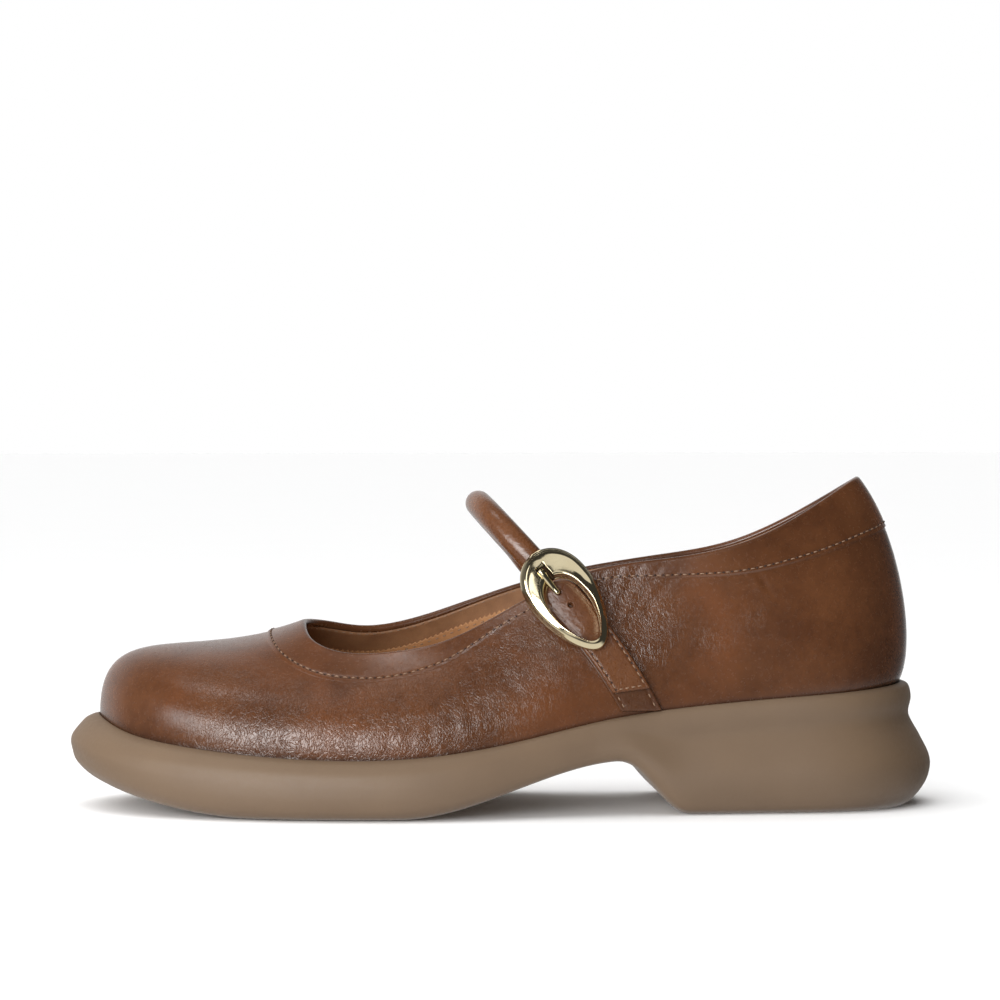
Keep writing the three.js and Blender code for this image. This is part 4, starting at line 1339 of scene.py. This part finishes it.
# The strap: a round cord of leather that flattens where it meets the anchor
def strap_cord():
    radius = STRAP_DIAMETER / 2
    behind = -BUCKLE_LENGTH / 2 + STRAP_REACH * PLATE_WIDTH
    start = on_buckle(behind, 0, -CLEARANCE - STRAP_TUCK * radius)
    beyond = ANCHOR.at(1.0) + ANCHOR.way(1.0) * 3 * CLEARANCE
    u, t = on_upper(beyond[0], beyond[1], INNER)
    finish = off_upper(u, t, CLEARANCE + ANCHOR_THICKNESS / 2)
    share = (1 - np.cos(np.linspace(0, 1, 150) * math.pi)) / 2
    angle = share * math.pi
    rise = np.sin(angle) ** STRAP_FULLNESS
    middle = mix(start, finish, ((1 - np.cos(angle)) / 2)[:, None])
    middle += rise[:, None] * np.array([-STRAP_LEAN, 0, STRAP_RISE])
    square = unit(np.cross(finish - start, [-STRAP_LEAN, 0, STRAP_RISE]))
    out = np.cross(square, unit(np.gradient(middle, axis=0)))
    near = ease((share - 0.9) / 0.1)
    wide, thick = mix(radius, radius * 1.15, near), mix(radius, radius * 0.55, near)
    turns = np.arange(36) * 2 * math.pi / 36
    seam = 1 - 0.05 * bell(((turns - 1.5 * math.pi) / 0.16))
    points = (
        middle[:, None, :]
        + square * (wide[:, None] * np.cos(turns) * seam)[..., None]
        + out[:, None, :] * (thick[:, None] * np.sin(turns) * seam)[..., None]
    )
    weights = {"painted_shade": np.zeros(points.shape[:2])}
    add_tube("strap_cord", points, CORD_LEATHER, ["strap"], weights)


upper_leather()
upper_lining()
lining_facing()
upper_stitches()
facing_stitches()
sole_unit()
footbed()
tab_pieces()
anchor_pieces()
buckle_pieces()
strap_cord()

# Floor, camera and light
def floor_look():
    look = Look("floor_white")
    look.set(Roughness=0.95)
    look.colour(look.blend(look.noise(0.01, 1), rgb(0.94, 0.94, 0.94), rgb(0.95, 0.95, 0.95)))
    return look.material


FLOOR_HALF = 6.0
FLOOR_DROP = 0.00005
floor_mesh = bpy.data.meshes.new("floor")
corners = [(-1, -1), (1, -1), (1, 1), (-1, 1)]
places = [(x * FLOOR_HALF, y * FLOOR_HALF, -FLOOR_DROP) for x, y in corners]
floor_mesh.from_pydata(places, [], [(0, 1, 2, 3)])
floor_mesh.materials.append(floor_look())
floor_piece = add_object("floor", floor_mesh)
floor_piece.visible_glossy = False

CAMERA_PLACE = (-0.0810, -1.1472, 0.1310)
CAMERA_AIM = (-0.0008, 0, 0.0953)
CAMERA_LENS = 132.3


def aim(thing, place, target):
    thing.location = place
    way = Vector(target) - Vector(place)
    thing.rotation_mode = "QUATERNION"
    thing.rotation_quaternion = way.to_track_quat("-Z", "Y")


camera = add_object("camera", bpy.data.cameras.new("camera"))
camera.data.lens = CAMERA_LENS
camera.data.sensor_width = 36
camera.data.clip_start = 0.05
aim(camera, CAMERA_PLACE, CAMERA_AIM)
bpy.context.scene.camera = camera


def add_light(name, kind, place, target, power, mirrored=True):
    lamp = bpy.data.lights.new(name, kind)
    lamp.energy = power
    holder = add_object(name, lamp)
    aim(holder, place, target)
    holder.visible_camera = False
    holder.visible_glossy = mirrored
    return lamp


def soft_box(name, place, target, size, brightness):
    """An area light whose power follows from how bright its face looks."""
    lamp = add_light(name, "AREA", place, target, brightness * math.pi * size[0] * size[1])
    lamp.shape = "RECTANGLE"
    lamp.size, lamp.size_y = size


soft_box("light_key", (-0.43, -0.85, 0.14), (-0.05, 0, 0.05), (0.8, 0.56), 9.3)
soft_box("light_side", (-0.9, -0.52, 0.27), (-0.1, 0, 0.04), (0.3, 0.35), 5)
soft_box("light_upper", (-0.38, -0.8, 0.57), (-0.02, -0.03, 0.06), (0.4, 0.24), 2)
soft_box("light_front", (0.1, -0.83, 0.69), (0.02, -0.05, 0.07), (0.28, 0.3), 0.8)
soft_box("light_high", (-0.31, 0.0, 0.93), (-0.03, -0.03, 0.055), (0.24, 0.24), 3.2)
sun = add_light("light_sky", "SUN", (-0.5, 0.1, 2), (0, 0, 0), 2.95, mirrored=False)
sun.angle = math.radians(80)

# Studio around: dark in front and right, bright behind and below
world = bpy.data.worlds.new("studio")
world.use_nodes = True
bpy.context.scene.world = world
sky = Nodes(world.node_tree)
split = sky.add("SeparateXYZ", {"Vector": sky.add("TexCoord").outputs["Generated"]})
east, north, up = (split.outputs[k] for k in range(3))
behind = sky.times(sky.span(north, 0.2, 0.7, 0, 0.8, True), sky.span(up, 0.5, 0.85, 1, 0.15, True))
behind = sky.times(behind, sky.span(east, 0.25, 0.75, 1, 0.12, True))
below = sky.span(up, -0.65, -0.25, 0.8, 0, True)
left = sky.times(sky.span(east, -0.95, -0.6, 0.12, 0, True), sky.span(up, -0.3, 0.0, 0, 1, True))
glow = sky.math("ADD", sky.math("ADD", behind, below), sky.math("ADD", left, 0.045))
strength = sky.math("MAXIMUM", glow, sky.add("LightPath").outputs["Is Camera Ray"])
background = sky.nodes["Background"]
sky.links.new(strength, background.inputs["Strength"])
background.inputs["Color"].default_value = (1, 1, 1, 1)

bpy.context.scene.view_settings.view_transform = "Standard"
bpy.context.scene.view_settings.look = "None"
